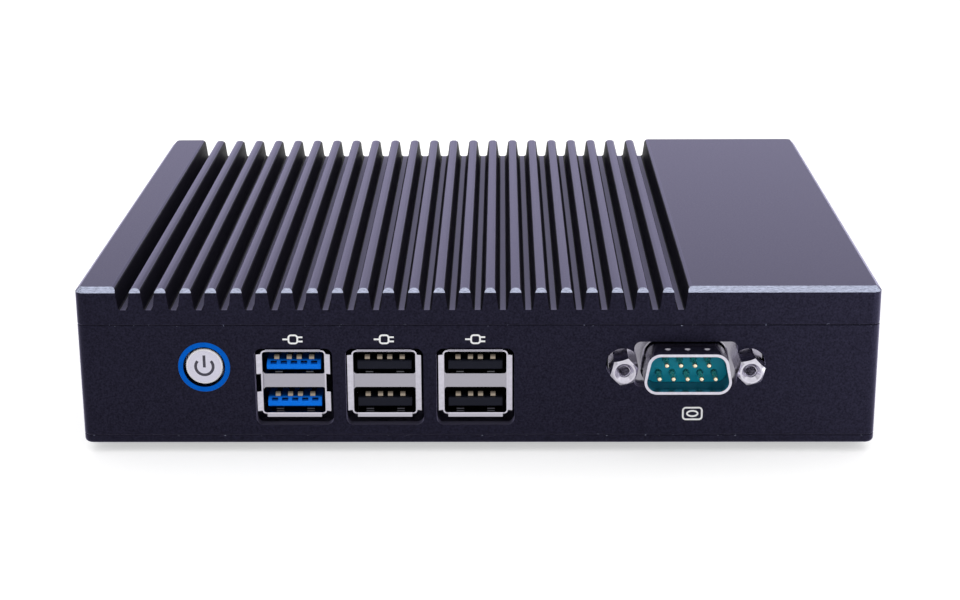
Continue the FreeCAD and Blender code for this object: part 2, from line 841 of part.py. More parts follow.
def housing_screws():
    """Countersunk screws of the cover, and the screws that reach up through the posts into the lid."""
    cover_screw = new_body("cover_screw")
    turned(cover_screw, [
        ("drive_recess_radius", "drive_recess_depth"),
        ("drive_recess_radius", "0"),
        ("cover_screw_head_radius", "0"),
        ("screw_radius", "countersink_height"),
        ("screw_radius", "cover_screw_length"),
        ("0", "cover_screw_length"),
        ("0", "drive_recess_depth"),
    ])
    copies("cover_screws", cover_screw, cover_screw_places())
    lid_screw = new_body("lid_screw")
    turned(lid_screw, [
        ("drive_recess_radius", "drive_recess_depth - lid_screw_head_height"),
        ("drive_recess_radius", "-lid_screw_head_height"),
        ("lid_screw_head_radius", "-lid_screw_head_height"),
        ("lid_screw_head_radius", "0"),
        ("screw_radius", "0"),
        ("screw_radius", "lid_screw_grip + thread_depth - part_clearance"),
        ("0", "lid_screw_grip + thread_depth - part_clearance"),
        ("0", "drive_recess_depth - lid_screw_head_height"),
    ])
    copies("lid_screws", lid_screw, lid_screw_places())


def rubber_feet():
    """Four stick-on feet, slightly tapered."""
    feet = []
    for x, y, z in corners_of("case_width / 2 - foot_inset_side", "front_y + foot_inset_end",
                              "rear_y - foot_inset_end", "0"):
        foot = document.addObject("Part::Cone", "foot")
        bind(foot, Radius1="foot_radius - foot_draft", Radius2="foot_radius", Height="foot_height")
        place(foot, x, y, z)
        feet.append(foot)
    group("rubber_feet", feet)


# Mainboard and the pieces on it


def mainboard():
    """Board with screw holes, notched at the front for the serial connector."""
    body = new_body("mainboard")
    plan = flat_sketch(body, "board_bottom")
    rectangle(plan, "-board_width / 2", "board_width / 2", "board_front_y", "board_rear_y")
    pad(body, plan, "board_thickness")
    notch = flat_sketch(body, "board_bottom")
    rectangle(notch, "serial_x - serial_notch_half", "serial_x + serial_notch_half",
              f"board_front_y - {CUT_OVER}", "notch_back_y")
    pocket(body, notch)
    holes = flat_sketch(body, "board_bottom")
    for x, y, _ in board_screw_places():
        circle(holes, x, y, "screw_hole_radius")
    pocket(body, holes)
    keep(body, "mainboard")
    spacer = new_body("board_spacer")
    turned(spacer, [
        ("screw_hole_radius", "0"),
        ("spacer_radius", "0"),
        ("spacer_radius", "board_gap"),
        ("screw_hole_radius", "board_gap"),
    ])
    copies("board_spacers", spacer, board_screw_places("board_top"))
    screw = new_body("board_screw")
    screw_end = "board_thickness + board_gap + thread_depth - part_clearance"
    turned(screw, [
        ("drive_recess_radius", "drive_recess_depth - board_screw_head_height"),
        ("drive_recess_radius", "-board_screw_head_height"),
        ("board_screw_head_radius", "-board_screw_head_height"),
        ("board_screw_head_radius", "0"),
        ("screw_radius", "0"),
        ("screw_radius", screw_end),
        ("0", screw_end),
        ("0", "drive_recess_depth - board_screw_head_height"),
    ])
    copies("board_screws", screw, board_screw_places())


def heat_path():
    """Processor on the upper side of the board, and the block and soft pad that lead its heat to the lid."""
    half = "processor_side / 2"
    keep(box("processor", f"processor_x - {half}", f"processor_y - {half}", "board_top",
             "processor_side", "processor_side", "processor_height"), "processor")
    half = "heat_block_side / 2"
    block_height = "board_gap - processor_height - thermal_pad_thickness"
    keep(box("heat_block", f"processor_x - {half}", f"processor_y - {half}", "board_top + processor_height",
             "heat_block_side", "heat_block_side", block_height), "heat_block")
    keep(box("thermal_pad", f"processor_x - {half}", f"processor_y - {half}",
             "frame_top - thermal_pad_thickness",
             "heat_block_side", "heat_block_side", "thermal_pad_thickness"), "thermal_pad")


def plug_in_card(name, x, y, width, length):
    """Edge socket under the board with a card pushed into it, chips on the card's lower face."""
    socket = new_body(f"{name}_socket")
    bar = flat_sketch(socket)
    rectangle(bar, f"-{width} / 2 - socket_overhang", f"{width} / 2 + socket_overhang",
              "0", "socket_depth")
    pad(socket, bar, "socket_height", against=True)
    slot = front_sketch(socket)
    rectangle(slot, f"-{width} / 2 - part_clearance", f"{width} / 2 + part_clearance",
              "-card_drop - card_thickness - card_fit", "card_fit - card_drop")
    pocket(socket, slot, "card_bite")
    place(socket, x, f"{y} + {length} / 2 - card_bite", "board_bottom")
    keep(socket, f"{name}_socket")

    card = new_body(f"{name}_card")
    plate = flat_sketch(card, "-card_drop")
    rectangle(plate, f"-{width} / 2", f"{width} / 2", f"-{length} / 2", f"{length} / 2")
    pad(card, plate, "card_thickness", against=True)
    chips = flat_sketch(card, "-card_drop - card_thickness")
    for side in (1, -1):
        centred(chips, f"{side} * {width} / 4", "-chip_shift", "chip_width", "chip_length")
    pad(card, chips, "chip_height", against=True)
    place(card, x, y, "board_bottom")
    keep(card, f"{name}_card")

    standoffs = []
    for side in (1, -1):
        standoff = document.addObject("Part::Cylinder", f"{name}_standoff")
        bind(standoff, Radius="standoff_radius", Height="card_drop")
        place(standoff, f"{x} + {side} * ({width} / 2 - standoff_radius)",
              f"{y} - {length} / 2 + standoff_radius", "board_bottom - card_drop")
        standoffs.append(standoff)
    group(f"{name}_standoffs", standoffs)


def clock_battery():
    """Coin cell in a round holder under the board."""
    holder = new_body("coin_cell_holder")
    outer = "coin_cell_radius + holder_wall"
    inner = "coin_cell_radius + insulator_fit"
    turned(holder, [
        ("0", "-holder_floor"),
        (inner, "-holder_floor"),
        (inner, "-holder_floor - coin_cell_height"),
        (outer, "-holder_floor - coin_cell_height"),
        (outer, "0"),
        ("0", "0"),
    ])
    place(holder, "coin_cell_x", "coin_cell_y", "board_bottom")
    keep(holder, "coin_cell_holder")
    cell = document.addObject("Part::Cylinder", "coin_cell")
    bind(cell, Radius="coin_cell_radius", Height="coin_cell_height")
    place(cell, "coin_cell_x", "coin_cell_y", "board_bottom - holder_floor - coin_cell_height")
    keep(cell, "coin_cell")


# Power button


def power_button():
    """Cap that slides in a lit ring and pushes the plunger of the switch behind it."""
    cap = new_body("power_button_cap")
    turned(cap, [
        ("0", "button_cap_recess"),
        ("button_cap_radius", "button_cap_recess", "button_edge_radius"),
        ("button_cap_radius", "cap_flange_front"),
        ("button_flange_radius", "cap_flange_front"),
        ("button_flange_radius", "cap_flange_back"),
        ("button_stem_radius", "cap_flange_back"),
        ("button_stem_radius", "stem_end"),
        ("0", "stem_end"),
    ], "XY_Plane")
    ring = new_body("light_ring")
    turned(ring, [
        ("ring_bore_radius", "0"),
        ("ring_radius", "0"),
        ("ring_radius", "wall_thickness"),
        ("ring_flange_radius", "wall_thickness"),
        ("ring_flange_radius", "ring_back"),
        ("ring_bore_radius", "ring_back"),
    ], "XY_Plane")
    plunger = new_body("switch_plunger")
    turned(plunger, [
        ("0", "stem_end"),
        ("plunger_radius", "stem_end"),
        ("plunger_radius", "switch_front + plunger_in"),
        ("0", "switch_front + plunger_in"),
    ], "XY_Plane")
    switch = new_body("switch_body")
    block = front_sketch(switch, "switch_front")
    rectangle(block, "-switch_width / 2", "switch_width / 2", "-switch_below", "button_drop")
    pad(switch, block, "switch_depth", against=True)
    bore = front_sketch(switch, "switch_front")
    circle(bore, "0", "0", "plunger_radius + button_gap")
    pocket(switch, bore, "plunger_in + button_travel + button_gap")
    for body in (cap, ring, plunger, switch):
        place(body, "button_x", "front_y", "button_z")
        keep(body, body.Label)
    leds = []
    for side in (1, -1):
        leds.append(box("ring_led", f"button_x + {side} * led_offset - led_width / 2", "board_front_y",
                        "board_bottom - led_height", "led_width", "led_depth", "led_height"))
    group("ring_leds", leds)


# Stacked plug sockets


def flap_outline(sketch, side):
    """Flared flap beside the mouth, seen from above."""
    wall = "sleeve_width / 2 - sleeve_wall"
    tip = "sleeve_width / 2 + flap_reach"
    corners = [
        (f"{side} * ({wall})", "flap_depth"),
        (f"{side} * ({tip})", "0"),
        (f"{side} * ({tip})", "sleeve_wall"),
        (f"{side} * ({wall})", "flap_depth + sleeve_wall"),
    ]
    outline(sketch, corners if side > 0 else corners[::-1])


def socket_sleeve(name, split_flaps):
    """Metal sleeve with two ports, a divider set back between them and flared flaps round the mouth."""
    body = new_body(f"{name}_sleeve")
    face = front_sketch(body, "flap_depth")
    rectangle(face, "-sleeve_width / 2", "sleeve_width / 2", "-sleeve_height", "0", "sleeve_corner")
    pad(body, face, "sleeve_depth - flap_depth", against=True)
    ports = front_sketch(body, "flap_depth")
    for low in ("upper_port_bottom", "lower_port_bottom"):
        rectangle(ports, "-port_width / 2", "port_width / 2", low, f"{low} + port_height", "port_corner")
    pocket(body, ports, "port_depth - flap_depth")
    divider = front_sketch(body, "flap_depth")
    rectangle(divider, "-port_width / 2", "port_width / 2", "lower_port_bottom + port_height / 2",
              "upper_port_bottom + port_height / 2")
    pocket(body, divider, "divider_setback")
    back = front_sketch(body, "sleeve_depth")
    rectangle(back, "-port_width / 2", "port_width / 2", "lower_port_bottom", "-sleeve_wall", "port_corner")
    pocket(body, back, "sleeve_back", along=True)

    full_height = [("-sleeve_height + flap_margin", "sleeve_height - 2 * flap_margin")]
    one_each = [(f"{low} + flap_margin / 2", "port_height - flap_margin")
                for low in ("upper_port_bottom", "lower_port_bottom")]
    for low, height in one_each if split_flaps else full_height:
        for side in (1, -1):
            flap = flat_sketch(body, low)
            flap_outline(flap, side)
            pad(body, flap, height)
    bent = side_sketch(body)
    outline(bent, [
        ("0", "-sleeve_height - bottom_flap_reach"),
        ("sleeve_wall", "-sleeve_height - bottom_flap_reach"),
        ("flap_depth + sleeve_wall", "sleeve_wall - sleeve_height"),
        ("flap_depth", "sleeve_wall - sleeve_height"),
    ])
    outline(bent, [
        ("flap_depth", "-sleeve_wall"),
        ("flap_depth + sleeve_wall", "-sleeve_wall"),
        ("sleeve_wall", "top_lip_reach"),
        ("0", "top_lip_reach"),
    ])
    pad(body, bent, "port_width - 2 * flap_split", both_ways=True)
    return body


def socket_insulator(name, fast):
    """Moulding at the back of the sleeve with a bevelled tongue into each port, windowed if it is fast."""
    body = new_body(f"{name}_insulator")
    block = front_sketch(body, "port_depth")
    rectangle(block, "insulator_fit - port_width / 2", "port_width / 2 - insulator_fit",
              "lower_port_bottom + insulator_fit", "-sleeve_wall - insulator_fit", "port_corner")
    pad(body, block, "sleeve_back", against=True)
    upper_bevel = "fast_bevel" if fast else "tongue_bevel"
    tongues = side_sketch(body)
    for port in ("upper_port_bottom", "lower_port_bottom"):
        low, high = f"{port} + tongue_rise", f"{port} + tongue_top"
        outline(tongues, [
            ("tongue_setback", f"{low} + tongue_bevel"),
            ("tongue_setback + tongue_bevel", low),
            ("port_depth", low),
            ("port_depth", high),
            (f"tongue_setback + {upper_bevel}", high),
            ("tongue_setback", f"{high} - {upper_bevel}"),
        ])
    pad(body, tongues, "tongue_width", both_ways=True)
    if fast:
        windows = front_sketch(body, "tongue_setback")
        for port in ("upper_port_bottom", "lower_port_bottom"):
            for step in range(-2, 3):
                centred(windows, f"{step} * window_pitch", f"{port} + window_floor + window_height / 2",
                        "window_width", "window_height")
        pocket(body, windows, "window_length")
    return body


def contact_master():
    """Spring contact that rises steeply from the tongue to a ridge, falls off and lies flat behind it."""
    master = new_body("plug_contact")
    strip = side_sketch(master)
    foot = "contact_slope + contact_fall"
    outline(strip, [
        ("0", "0"),
        ("contact_slope", "contact_rise + contact_thickness"),
        (foot, "contact_thickness"),
        ("contact_length", "contact_thickness"),
        ("contact_length", "0"),
        (foot, "0"),
        ("contact_slope + contact_thickness", "contact_rise"),
        ("contact_thickness", "0"),
    ])
    pad(master, strip, "contact_width", both_ways=True)
    return master


def socket_contacts(name, index, fast, master):
    """Spring contacts on both tongues, and a short row in the windows of the fast ones."""
    strips = []
    front = "front_y - port_proud + tongue_setback"
    for port in ("upper_port_bottom", "lower_port_bottom"):
        top = f"board_bottom + {port} + tongue_top"
        strips += set_copies(master, [
            (f"{socket_x(index)} + {sign} * {offset}", f"{front} + contact_setback", top)
            for sign in (1, -1) for offset in ("contact_inner", "contact_outer")])
        for step in range(-2, 3) if fast else ():
            strips.append(box(f"{name}_contact",
                              f"{socket_x(index)} + {step} * window_pitch - fast_contact_width / 2",
                              f"{front} + window_length - fast_contact_length",
                              f"board_bottom + {port} + window_floor",
                              "fast_contact_width", "fast_contact_length", "contact_thickness"))
    group(f"{name}_contacts", strips)


def front_sockets():
    """Three stacked sockets side by side, the left one fast."""
    master = contact_master()
    for index, name in enumerate(("fast_usb", "usb_a", "usb_b")):
        fast = index == 0
        for body in (socket_sleeve(name, split_flaps=fast), socket_insulator(name, fast)):
            place(body, socket_x(index), "front_y - port_proud", "board_bottom")
            keep(body, body.Label)
        socket_contacts(name, index, fast, master)


# Serial connector


def d_outline(sketch, grow):
    """D outline with its wide side down, grown all round by an amount."""
    half_wide = f"serial_width / 2 + {grow}"
    half_narrow = f"serial_width / 2 - serial_taper + {grow}"
    half_high = f"serial_height / 2 + {grow}"
    corner = f"serial_corner + {grow}"
    outline(sketch, [
        (f"-({half_wide})", f"-({half_high})", corner),
        (half_wide, f"-({half_high})", corner),
        (half_narrow, half_high, corner),
        (f"-({half_narrow})", half_high, corner),
    ])


def serial_pin_places():
    """Places of the nine pins: five on the wide lower row and four on the upper row."""
    lower = [(f"{step} * serial_pin_pitch", "-serial_row_half") for step in range(-2, 3)]
    upper = [(f"({step} + 0.5) * serial_pin_pitch", "serial_row_half") for step in range(-2, 2)]
    return lower + upper


def round_root(sleeve):
    """Round the corner where the drawn sleeve rises from its flange."""
    flange_y = number("wall_thickness")
    reach = number("serial_width / 2 + serial_root_radius")
    names = []
    for index, edge in enumerate(sleeve.Tip.Shape.Edges, start=1):
        points = [vertex.Point for vertex in edge.Vertexes]
        if len(points) == 2 and all(abs(p.y - flange_y) < 1e-6 and abs(p.x) < reach for p in points):
            names.append(f"Edge{index}")
    root = sleeve.newObject("PartDesign::Fillet", "serial_root")
    root.Base = (root.BaseFeature, names)
    bind(root, Radius="serial_root_radius")
    document.recompute()


def serial_connector():
    """Nine-pin connector: drawn metal sleeve on a flange behind the wall, insulator, pins and jackscrews."""
    sleeve = new_body("serial_sleeve")
    flange = front_sketch(sleeve, "wall_thickness")
    centred(flange, "0", "0", "serial_flange_width", "serial_flange_height", "serial_flange_corner")
    for side in (1, -1):
        circle(flange, f"{side} * jackscrew_spacing / 2", "0", "jackscrew_stud_radius + screw_clearance")
    pad(sleeve, flange, "serial_flange_thickness", against=True)
    rim = front_sketch(sleeve, "wall_thickness")
    d_outline(rim, "0")
    pad(sleeve, rim, "wall_thickness + serial_reach")
    round_root(sleeve)
    hollow = front_sketch(sleeve)
    d_outline(hollow, "(-serial_wall)")
    pocket(sleeve, hollow)
    for step in (-1, 0, 1):
        dimple = sleeve.newObject("PartDesign::SubtractiveSphere", "serial_dimple")
        bind(dimple, Radius="serial_dimple_radius")
        place(dimple, f"{step} * serial_dimple_pitch", "serial_dimple_setback - serial_reach",
              "serial_height / 2 + serial_dimple_radius - serial_dimple_depth")
    document.recompute()

    insulator = new_body("serial_insulator")
    face = front_sketch(insulator, "serial_face")
    d_outline(face, "(-serial_wall - insulator_fit)")
    pad(insulator, face, "serial_flange_back - serial_face", against=True)
    back = front_sketch(insulator, "serial_flange_back")
    centred(back, "0", "0", "serial_back_width", "serial_back_height")
    pad(insulator, back, "serial_back_depth", against=True)
    pin_holes = front_sketch(insulator)
    for x, z in serial_pin_places():
        circle(pin_holes, x, z, "serial_pin_radius + serial_pin_fit")
    pocket(insulator, pin_holes)
    wells = front_sketch(insulator, "serial_face")
    for x, z in serial_pin_places():
        circle(wells, x, z, "serial_pin_well_radius")
    pocket(insulator, wells, "serial_pin_well_depth")
    ledge = front_sketch(insulator, "serial_face")
    rectangle(ledge, "-serial_width / 2", "serial_width / 2", f"serial_floor - {CUT_OVER}",
              "serial_floor + serial_ledge_height")
    pocket(insulator, ledge, "serial_ledge_depth")

    board = new_body("serial_board")
    plate = front_sketch(board, "serial_back")
    centred(plate, "0", "0", "serial_board_width", "serial_board_height")
    pad(board, plate, "board_thickness", against=True)

    for body in (sleeve, insulator, board):
        place(body, "serial_x", "front_y", "serial_z")
        keep(body, body.Label)

    pin_master = new_body("serial_pin")
    tip = "serial_pin_recess - serial_reach"
    turned(pin_master, [
        ("0", tip),
        ("serial_pin_radius", tip, "serial_pin_tip_radius"),
        ("serial_pin_radius", "serial_back"),
        ("0", "serial_back"),
    ], "XY_Plane")
    copies("serial_pins", pin_master, [(f"serial_x + {x}", "front_y", f"serial_z + {z}")
                                       for x, z in serial_pin_places()])
    jackscrew_pair()


def jackscrew_pair():
    """Two hexagonal jackscrews with threaded mouths, on the flange of the serial connector."""
    screw = new_body("jackscrew")
    hexagon = front_sketch(screw, "wall_thickness")
    turns = [f"{60 * corner} + jackscrew_turn" for corner in range(6)]
    outline(hexagon, [(f"jackscrew_point * cos({turn})", f"jackscrew_point * sin({turn})") for turn in turns])
    pad(screw, hexagon, "jackscrew_length")
    stud = front_sketch(screw, "wall_thickness")
    circle(stud, "0", "0", "jackscrew_stud_radius")
    pad(screw, stud, "jackscrew_stud_length", against=True)
    front = "wall_thickness - jackscrew_length"
    cut_turned(screw, [
        ("0", f"{front} - {CUT_OVER}"),
        (f"jackscrew_mouth_radius + {CUT_OVER}", f"{front} - {CUT_OVER}"),
        ("jackscrew_bore_radius", f"{front} + jackscrew_mouth_radius - jackscrew_bore_radius"),
        ("jackscrew_bore_radius", f"{front} + jackscrew_bore_depth"),
        ("0", f"{front} + jackscrew_bore_depth"),
    ])
    rim = "jackscrew_flats / 2 - jackscrew_rim"
    beyond = f"jackscrew_point + {CUT_OVER}"
    cut_turned(screw, [
        (f"{rim} - {LIP_OVER}", f"{front} - {LIP_OVER}"),
        (beyond, f"{front} - {LIP_OVER}"),
        (beyond, f"{front} + {beyond} - ({rim})"),
    ])
    copies("serial_jackscrews", screw, [(f"serial_x + {side} * jackscrew_spacing / 2", "front_y", "serial_z")
                                        for side in (1, -1)])


# Rear connectors, each drawn with its mouth towards the front and then turned round


def dc_jack():
    """Barrel jack for the power supply: a block with a round nose, and its centre pin."""
    body = new_body("dc_jack_body")
    block = front_sketch(body, "wall_thickness")
    rectangle(block, "-dc_jack_width / 2", "dc_jack_width / 2", "-dc_jack_height", "0")
    pad(body, block, "dc_jack_depth", against=True)
    nose = front_sketch(body, "wall_thickness")
    circle(nose, "0", "-dc_jack_drop", "dc_nose_radius")
    pad(body, nose, "wall_thickness")
    bore = front_sketch(body)
    circle(bore, "0", "-dc_jack_drop", "dc_bore_radius")
    pocket(body, bore, "dc_bore_depth")
    pin_body = new_body("dc_jack_pin")
    pin_plan = front_sketch(pin_body, "dc_pin_recess")
    circle(pin_plan, "0", "-dc_jack_drop", "dc_pin_radius")
    pad(pin_body, pin_plan, "dc_bore_depth - dc_pin_recess", against=True)
    for item in (body, pin_body):
        turn_round(item)
        place(item, "dc_jack_x", "rear_y", "board_bottom")
        keep(item, item.Label)


def video_outline(sketch, inset):
    """Flat socket outline whose two lower corners are cut off at a slope."""
    half = f"(video_width / 2 - {inset})"
    low = f"({inset} - video_height)"
    outline(sketch, [
        (f"video_slope - {half}", low),
        (f"{half} - video_slope", low),
        (half, f"{low} + video_slope"),
        (half, f"-{inset}"),
        (f"-{half}", f"-{inset}"),
        (f"-{half}", f"{low} + video_slope"),
    ])


def video_socket():
    """Flat display socket: a bent sleeve and an insulator with a thin tongue."""
    sleeve = new_body("video_sleeve")
    face = front_sketch(sleeve)
    video_outline(face, "0")
    pad(sleeve, face, "video_depth", against=True)
    hollow = front_sketch(sleeve)
    video_outline(hollow, "video_wall")
    pocket(sleeve, hollow)
    insulator = new_body("video_insulator")
    back = front_sketch(insulator, "video_depth - video_back")
    video_outline(back, "(video_wall + insulator_fit)")
    pad(insulator, back, "video_back", against=True)
    tongue = front_sketch(insulator, "video_tongue_setback")
    centred(tongue, "0", "-video_height / 2", "video_tongue_width", "video_tongue_thickness")
    pad(insulator, tongue, "video_depth - video_back - video_tongue_setback", against=True)
    for body in (sleeve, insulator):
        turn_round(body)
        place(body, "video_x", "rear_y + port_proud", "board_bottom")
        keep(body, body.Label)


def lan_socket(name, index):
    """Network socket: a metal can round a moulding with a keyed cavity, and eight spring contacts."""
    can = new_body(f"{name}_can")
    face = front_sketch(can)
    rectangle(face, "-lan_width / 2", "lan_width / 2", "-lan_height", "0")
    pad(can, face, "lan_depth", against=True)
    hollow = front_sketch(can)
    rectangle(hollow, "-lan_inner_width / 2", "lan_inner_width / 2", "lan_wall - lan_height", "-lan_wall")
    pocket(can, hollow)

    housing = new_body(f"{name}_insulator")
    block = front_sketch(housing)
    rectangle(block, "insulator_fit - lan_inner_width / 2", "lan_inner_width / 2 - insulator_fit",
              "lan_wall + insulator_fit - lan_height", "-lan_wall - insulator_fit")
    pad(housing, block, "lan_depth", against=True)
    cavity = front_sketch(housing)
    notch_low = "lan_cavity_bottom - lan_notch_depth"
    key_low = f"{notch_low} - lan_key_depth"
    outline(cavity, [
        ("-lan_cavity_width / 2", "lan_cavity_bottom"),
        ("-lan_notch_width / 2", "lan_cavity_bottom"),
        ("-lan_notch_width / 2", notch_low),
        ("-lan_key_width / 2", notch_low),
        ("-lan_key_width / 2", key_low),
        ("lan_key_width / 2", key_low),
        ("lan_key_width / 2", notch_low),
        ("lan_notch_width / 2", notch_low),
        ("lan_notch_width / 2", "lan_cavity_bottom"),
        ("lan_cavity_width / 2", "lan_cavity_bottom"),
        ("lan_cavity_width / 2", "-lan_cavity_drop"),
        ("-lan_cavity_width / 2", "-lan_cavity_drop"),
    ])
    pocket(housing, cavity, "lan_cavity_depth")

    contacts = new_body(f"{name}_contacts")
    for step in range(8):
        middle = f"({step} - 3.5) * lan_contact_pitch"
        blade = new_sketch(contacts, "YZ_Plane", f"{middle} - lan_contact_width / 2")
        far = "lan_contact_setback + lan_contact_length"
        outline(blade, [
            ("lan_contact_setback", "-lan_cavity_drop - lan_contact_width"),
            (far, "-lan_cavity_drop - lan_contact_lift - lan_contact_width"),
            (far, "-lan_cavity_drop - lan_contact_lift"),
            ("lan_contact_setback + 2 * lan_contact_width", "-lan_cavity_drop"),
            ("lan_contact_setback", "-lan_cavity_drop"),
        ])
        pad(contacts, blade, "lan_contact_width")

    for body in (can, housing, contacts):
        turn_round(body)
        place(body, lan_x(index), "rear_y + port_proud", "board_bottom")
        keep(body, body.Label)


def write_parts():
    """Check every object and every finished piece, then write one file for each."""
    document.recompute()
    for item in document.Objects:
        if "Invalid" in item.State or "Error" in item.State:
            raise RuntimeError(f"{item.Label} could not be worked out")
    for item in nodes:
        if item.Shape.isNull() or not item.Shape.isValid():
            raise RuntimeError(f"{item.Label} has no valid shape")
    os.makedirs("parts", exist_ok=True)
    for item in nodes:
        item.Shape.exportStep(f"parts/{item.Label}.step")


top_heatsink()
chassis_frame()
corner_posts()
bottom_cover()
housing_screws()
rubber_feet()
mainboard()
heat_path()
plug_in_card("memory", "memory_x", "memory_y", "memory_width", "memory_length")
plug_in_card("storage", "storage_x", "storage_y", "storage_width", "storage_length")
clock_battery()
power_button()
front_sockets()
serial_connector()
dc_jack()
video_socket()
for lan_index, lan_name in enumerate(("lan_a", "lan_b")):
    lan_socket(lan_name, lan_index)
write_parts()
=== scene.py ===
# Looks of a small fanless computer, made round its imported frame: finishes, fine pieces and a stage.
import json
import math

import bmesh
import bpy
from mathutils import Matrix, Vector


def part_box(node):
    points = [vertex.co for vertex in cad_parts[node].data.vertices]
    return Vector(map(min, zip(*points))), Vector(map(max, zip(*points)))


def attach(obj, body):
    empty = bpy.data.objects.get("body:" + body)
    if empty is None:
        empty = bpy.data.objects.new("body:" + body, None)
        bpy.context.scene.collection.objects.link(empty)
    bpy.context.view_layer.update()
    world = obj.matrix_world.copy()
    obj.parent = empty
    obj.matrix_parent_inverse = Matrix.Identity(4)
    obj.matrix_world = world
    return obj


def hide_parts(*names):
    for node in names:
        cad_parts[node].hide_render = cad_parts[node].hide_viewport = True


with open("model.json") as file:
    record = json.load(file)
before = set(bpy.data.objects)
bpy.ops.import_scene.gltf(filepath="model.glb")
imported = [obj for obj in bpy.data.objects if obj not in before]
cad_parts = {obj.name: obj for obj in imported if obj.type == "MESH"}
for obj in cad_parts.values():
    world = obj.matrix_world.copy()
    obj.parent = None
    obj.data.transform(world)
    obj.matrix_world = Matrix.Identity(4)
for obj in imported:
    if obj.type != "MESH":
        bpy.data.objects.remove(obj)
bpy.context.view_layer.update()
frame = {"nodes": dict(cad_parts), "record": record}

bl_info = {
    "name": "Fanless computer looks",
    "version": (1, 0, 0),
    "blender": (4, 5, 0),
    "location": "View3D > Sidebar > Part",
    "description": "Dresses the frame of a fanless computer with finishes, fine pieces and a stage",
    "category": "Object",
}

MM = 0.001
MERGE = 0.001 * MM

# Steps and sides of round shapes.
ROUND_STEPS = 10
CORNER_STEPS = 6
OVAL_STEPS = 32
SYMBOL_STEPS = 40
SCREW_STEPS = 48
FOOT_STEPS = 64
THREAD_STEPS = 28
LINE_SIDES = 12
RIDGE_SIDES = 6

# Sizes of a shape's parts as shares of the whole.
FIN_TIP_SHARE = 0.48     # radius of a fin's tip, of its width
PLUG_CORD_SHARE = 0.30   # cord of the plug mark, of its width
PLUG_PRONG_SHARE = 0.26  # prongs of the plug mark, of its width
PLUG_ROUND_SHARE = 0.30  # corner radius of the plug mark, of its height
PLUG_FORK_SHARE = 0.26   # prongs off the middle of the plug mark, of its height
SCREEN_OVAL_SHARES = (0.28, 0.23)  # half width and half height of the screen mark's oval
HEAD_EDGE_SHARE = 0.06   # broken edge of a screw's head, of its radius
CROSS_TAPER_SHARE = 0.6  # cross recess at its deep end, of its width at the face
DISH_SHARE = 0.55        # flat of the dish under a foot, of the foot's lower radius
TREAD_SHARE = 0.72       # outer edge of the dish under a foot, of the foot's lower radius
RIDGE_SHARE = 0.33       # radius of a thread's ridge, of its pitch
SPRING_LIP_SHARE = 0.25  # front end of a spring, of the height of its ridge
SPRING_FLAT_SHARE = 1.3  # end of a spring's ridge, of the depth of its start

# Finishes of the lid's faces, by their number on its mesh.
# WALL takes a copy of the anodised skin darkened as painted shade; FLOOR and TIP take copies brightened as
# painted light.
SKIN, MILLED, WALL, FLOOR, TIP = range(5)
END_LEAN = 0.5           # how far a face points along the fins to be an end
ROOT_LEAN = 0.15         # how far a face at a groove's root points sideways to be a wall
FLANK_LEAN = 0.8         # how far a face of a fin points sideways to be a wall

# Brightness of a finish as a share: the shades are painted shade, the mouths and fin tips painted light, the
# cap's rim a painted highlight, and the seam specks part wear and part painted highlight.
BORE_SHADE = 0.02
TONGUE_SHADE = 0.22
CONTACT_SHADE = 0.25
FLANGE_SHADE = 0.50
FLAP_SHADE = 0.66
SLEEVE_SHADE = 0.70
SEAM_SPECK_BRIGHTNESS = 0.70
MOUTH_PAINTED_LIGHT = 1.05
CAP_RIM_HIGHLIGHT = 1.3
TIP_PAINTED_LIGHT = 2.0

# Noise levels between which a finish changes, and the bare specks along the seams, part wear and part
# painted highlight of the seam edges.
GRAIN_RANGE = (0.3, 0.7)
SPECK_RANGE = (0.68, 0.74)
SPECK_SIZE = 0.55 * MM
SEAM_SPECK_REACH = 0.22 * MM

# Places that the frame gives, in metres.
lid_low, lid_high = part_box("top_heatsink")
walls_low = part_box("chassis_frame")[0]
cap_low, cap_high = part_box("power_button_cap")
screws_low, screws_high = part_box("cover_screws")
feet_low, feet_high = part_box("rubber_feet")
front_y = walls_low.y
SOCKETS = ("fast_usb", "usb_a", "usb_b")
sleeve_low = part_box("usb_a_sleeve")[0]
serial_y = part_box("serial_sleeve")[0].y
tongue_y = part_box("usb_a_insulator")[0].y
contact_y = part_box("usb_a_contacts")[0].y


# Sizes and colours that a user would change


def length(name, description, millimetres):
    """A length property, written in millimetres and kept in metres."""
    return bpy.props.FloatProperty(name=name, description=description, default=millimetres * MM,
                                   unit="LENGTH", precision=5)


def colour(name, description, red, green, blue):
    """A colour property."""
    return bpy.props.FloatVectorProperty(name=name, description=description, subtype="COLOR", size=3,
                                         min=0.0, max=1.0, default=(red, green, blue))


def level(name, description, value):
    """A plain number, such as a strength or a share."""
    return bpy.props.FloatProperty(name=name, description=description, default=value, min=0.0)


def turn(name, description, degrees):
    """An angle property, written in degrees."""
    return bpy.props.FloatProperty(name=name, description=description, default=math.radians(degrees),
                                   subtype="ANGLE", unit="ROTATION")


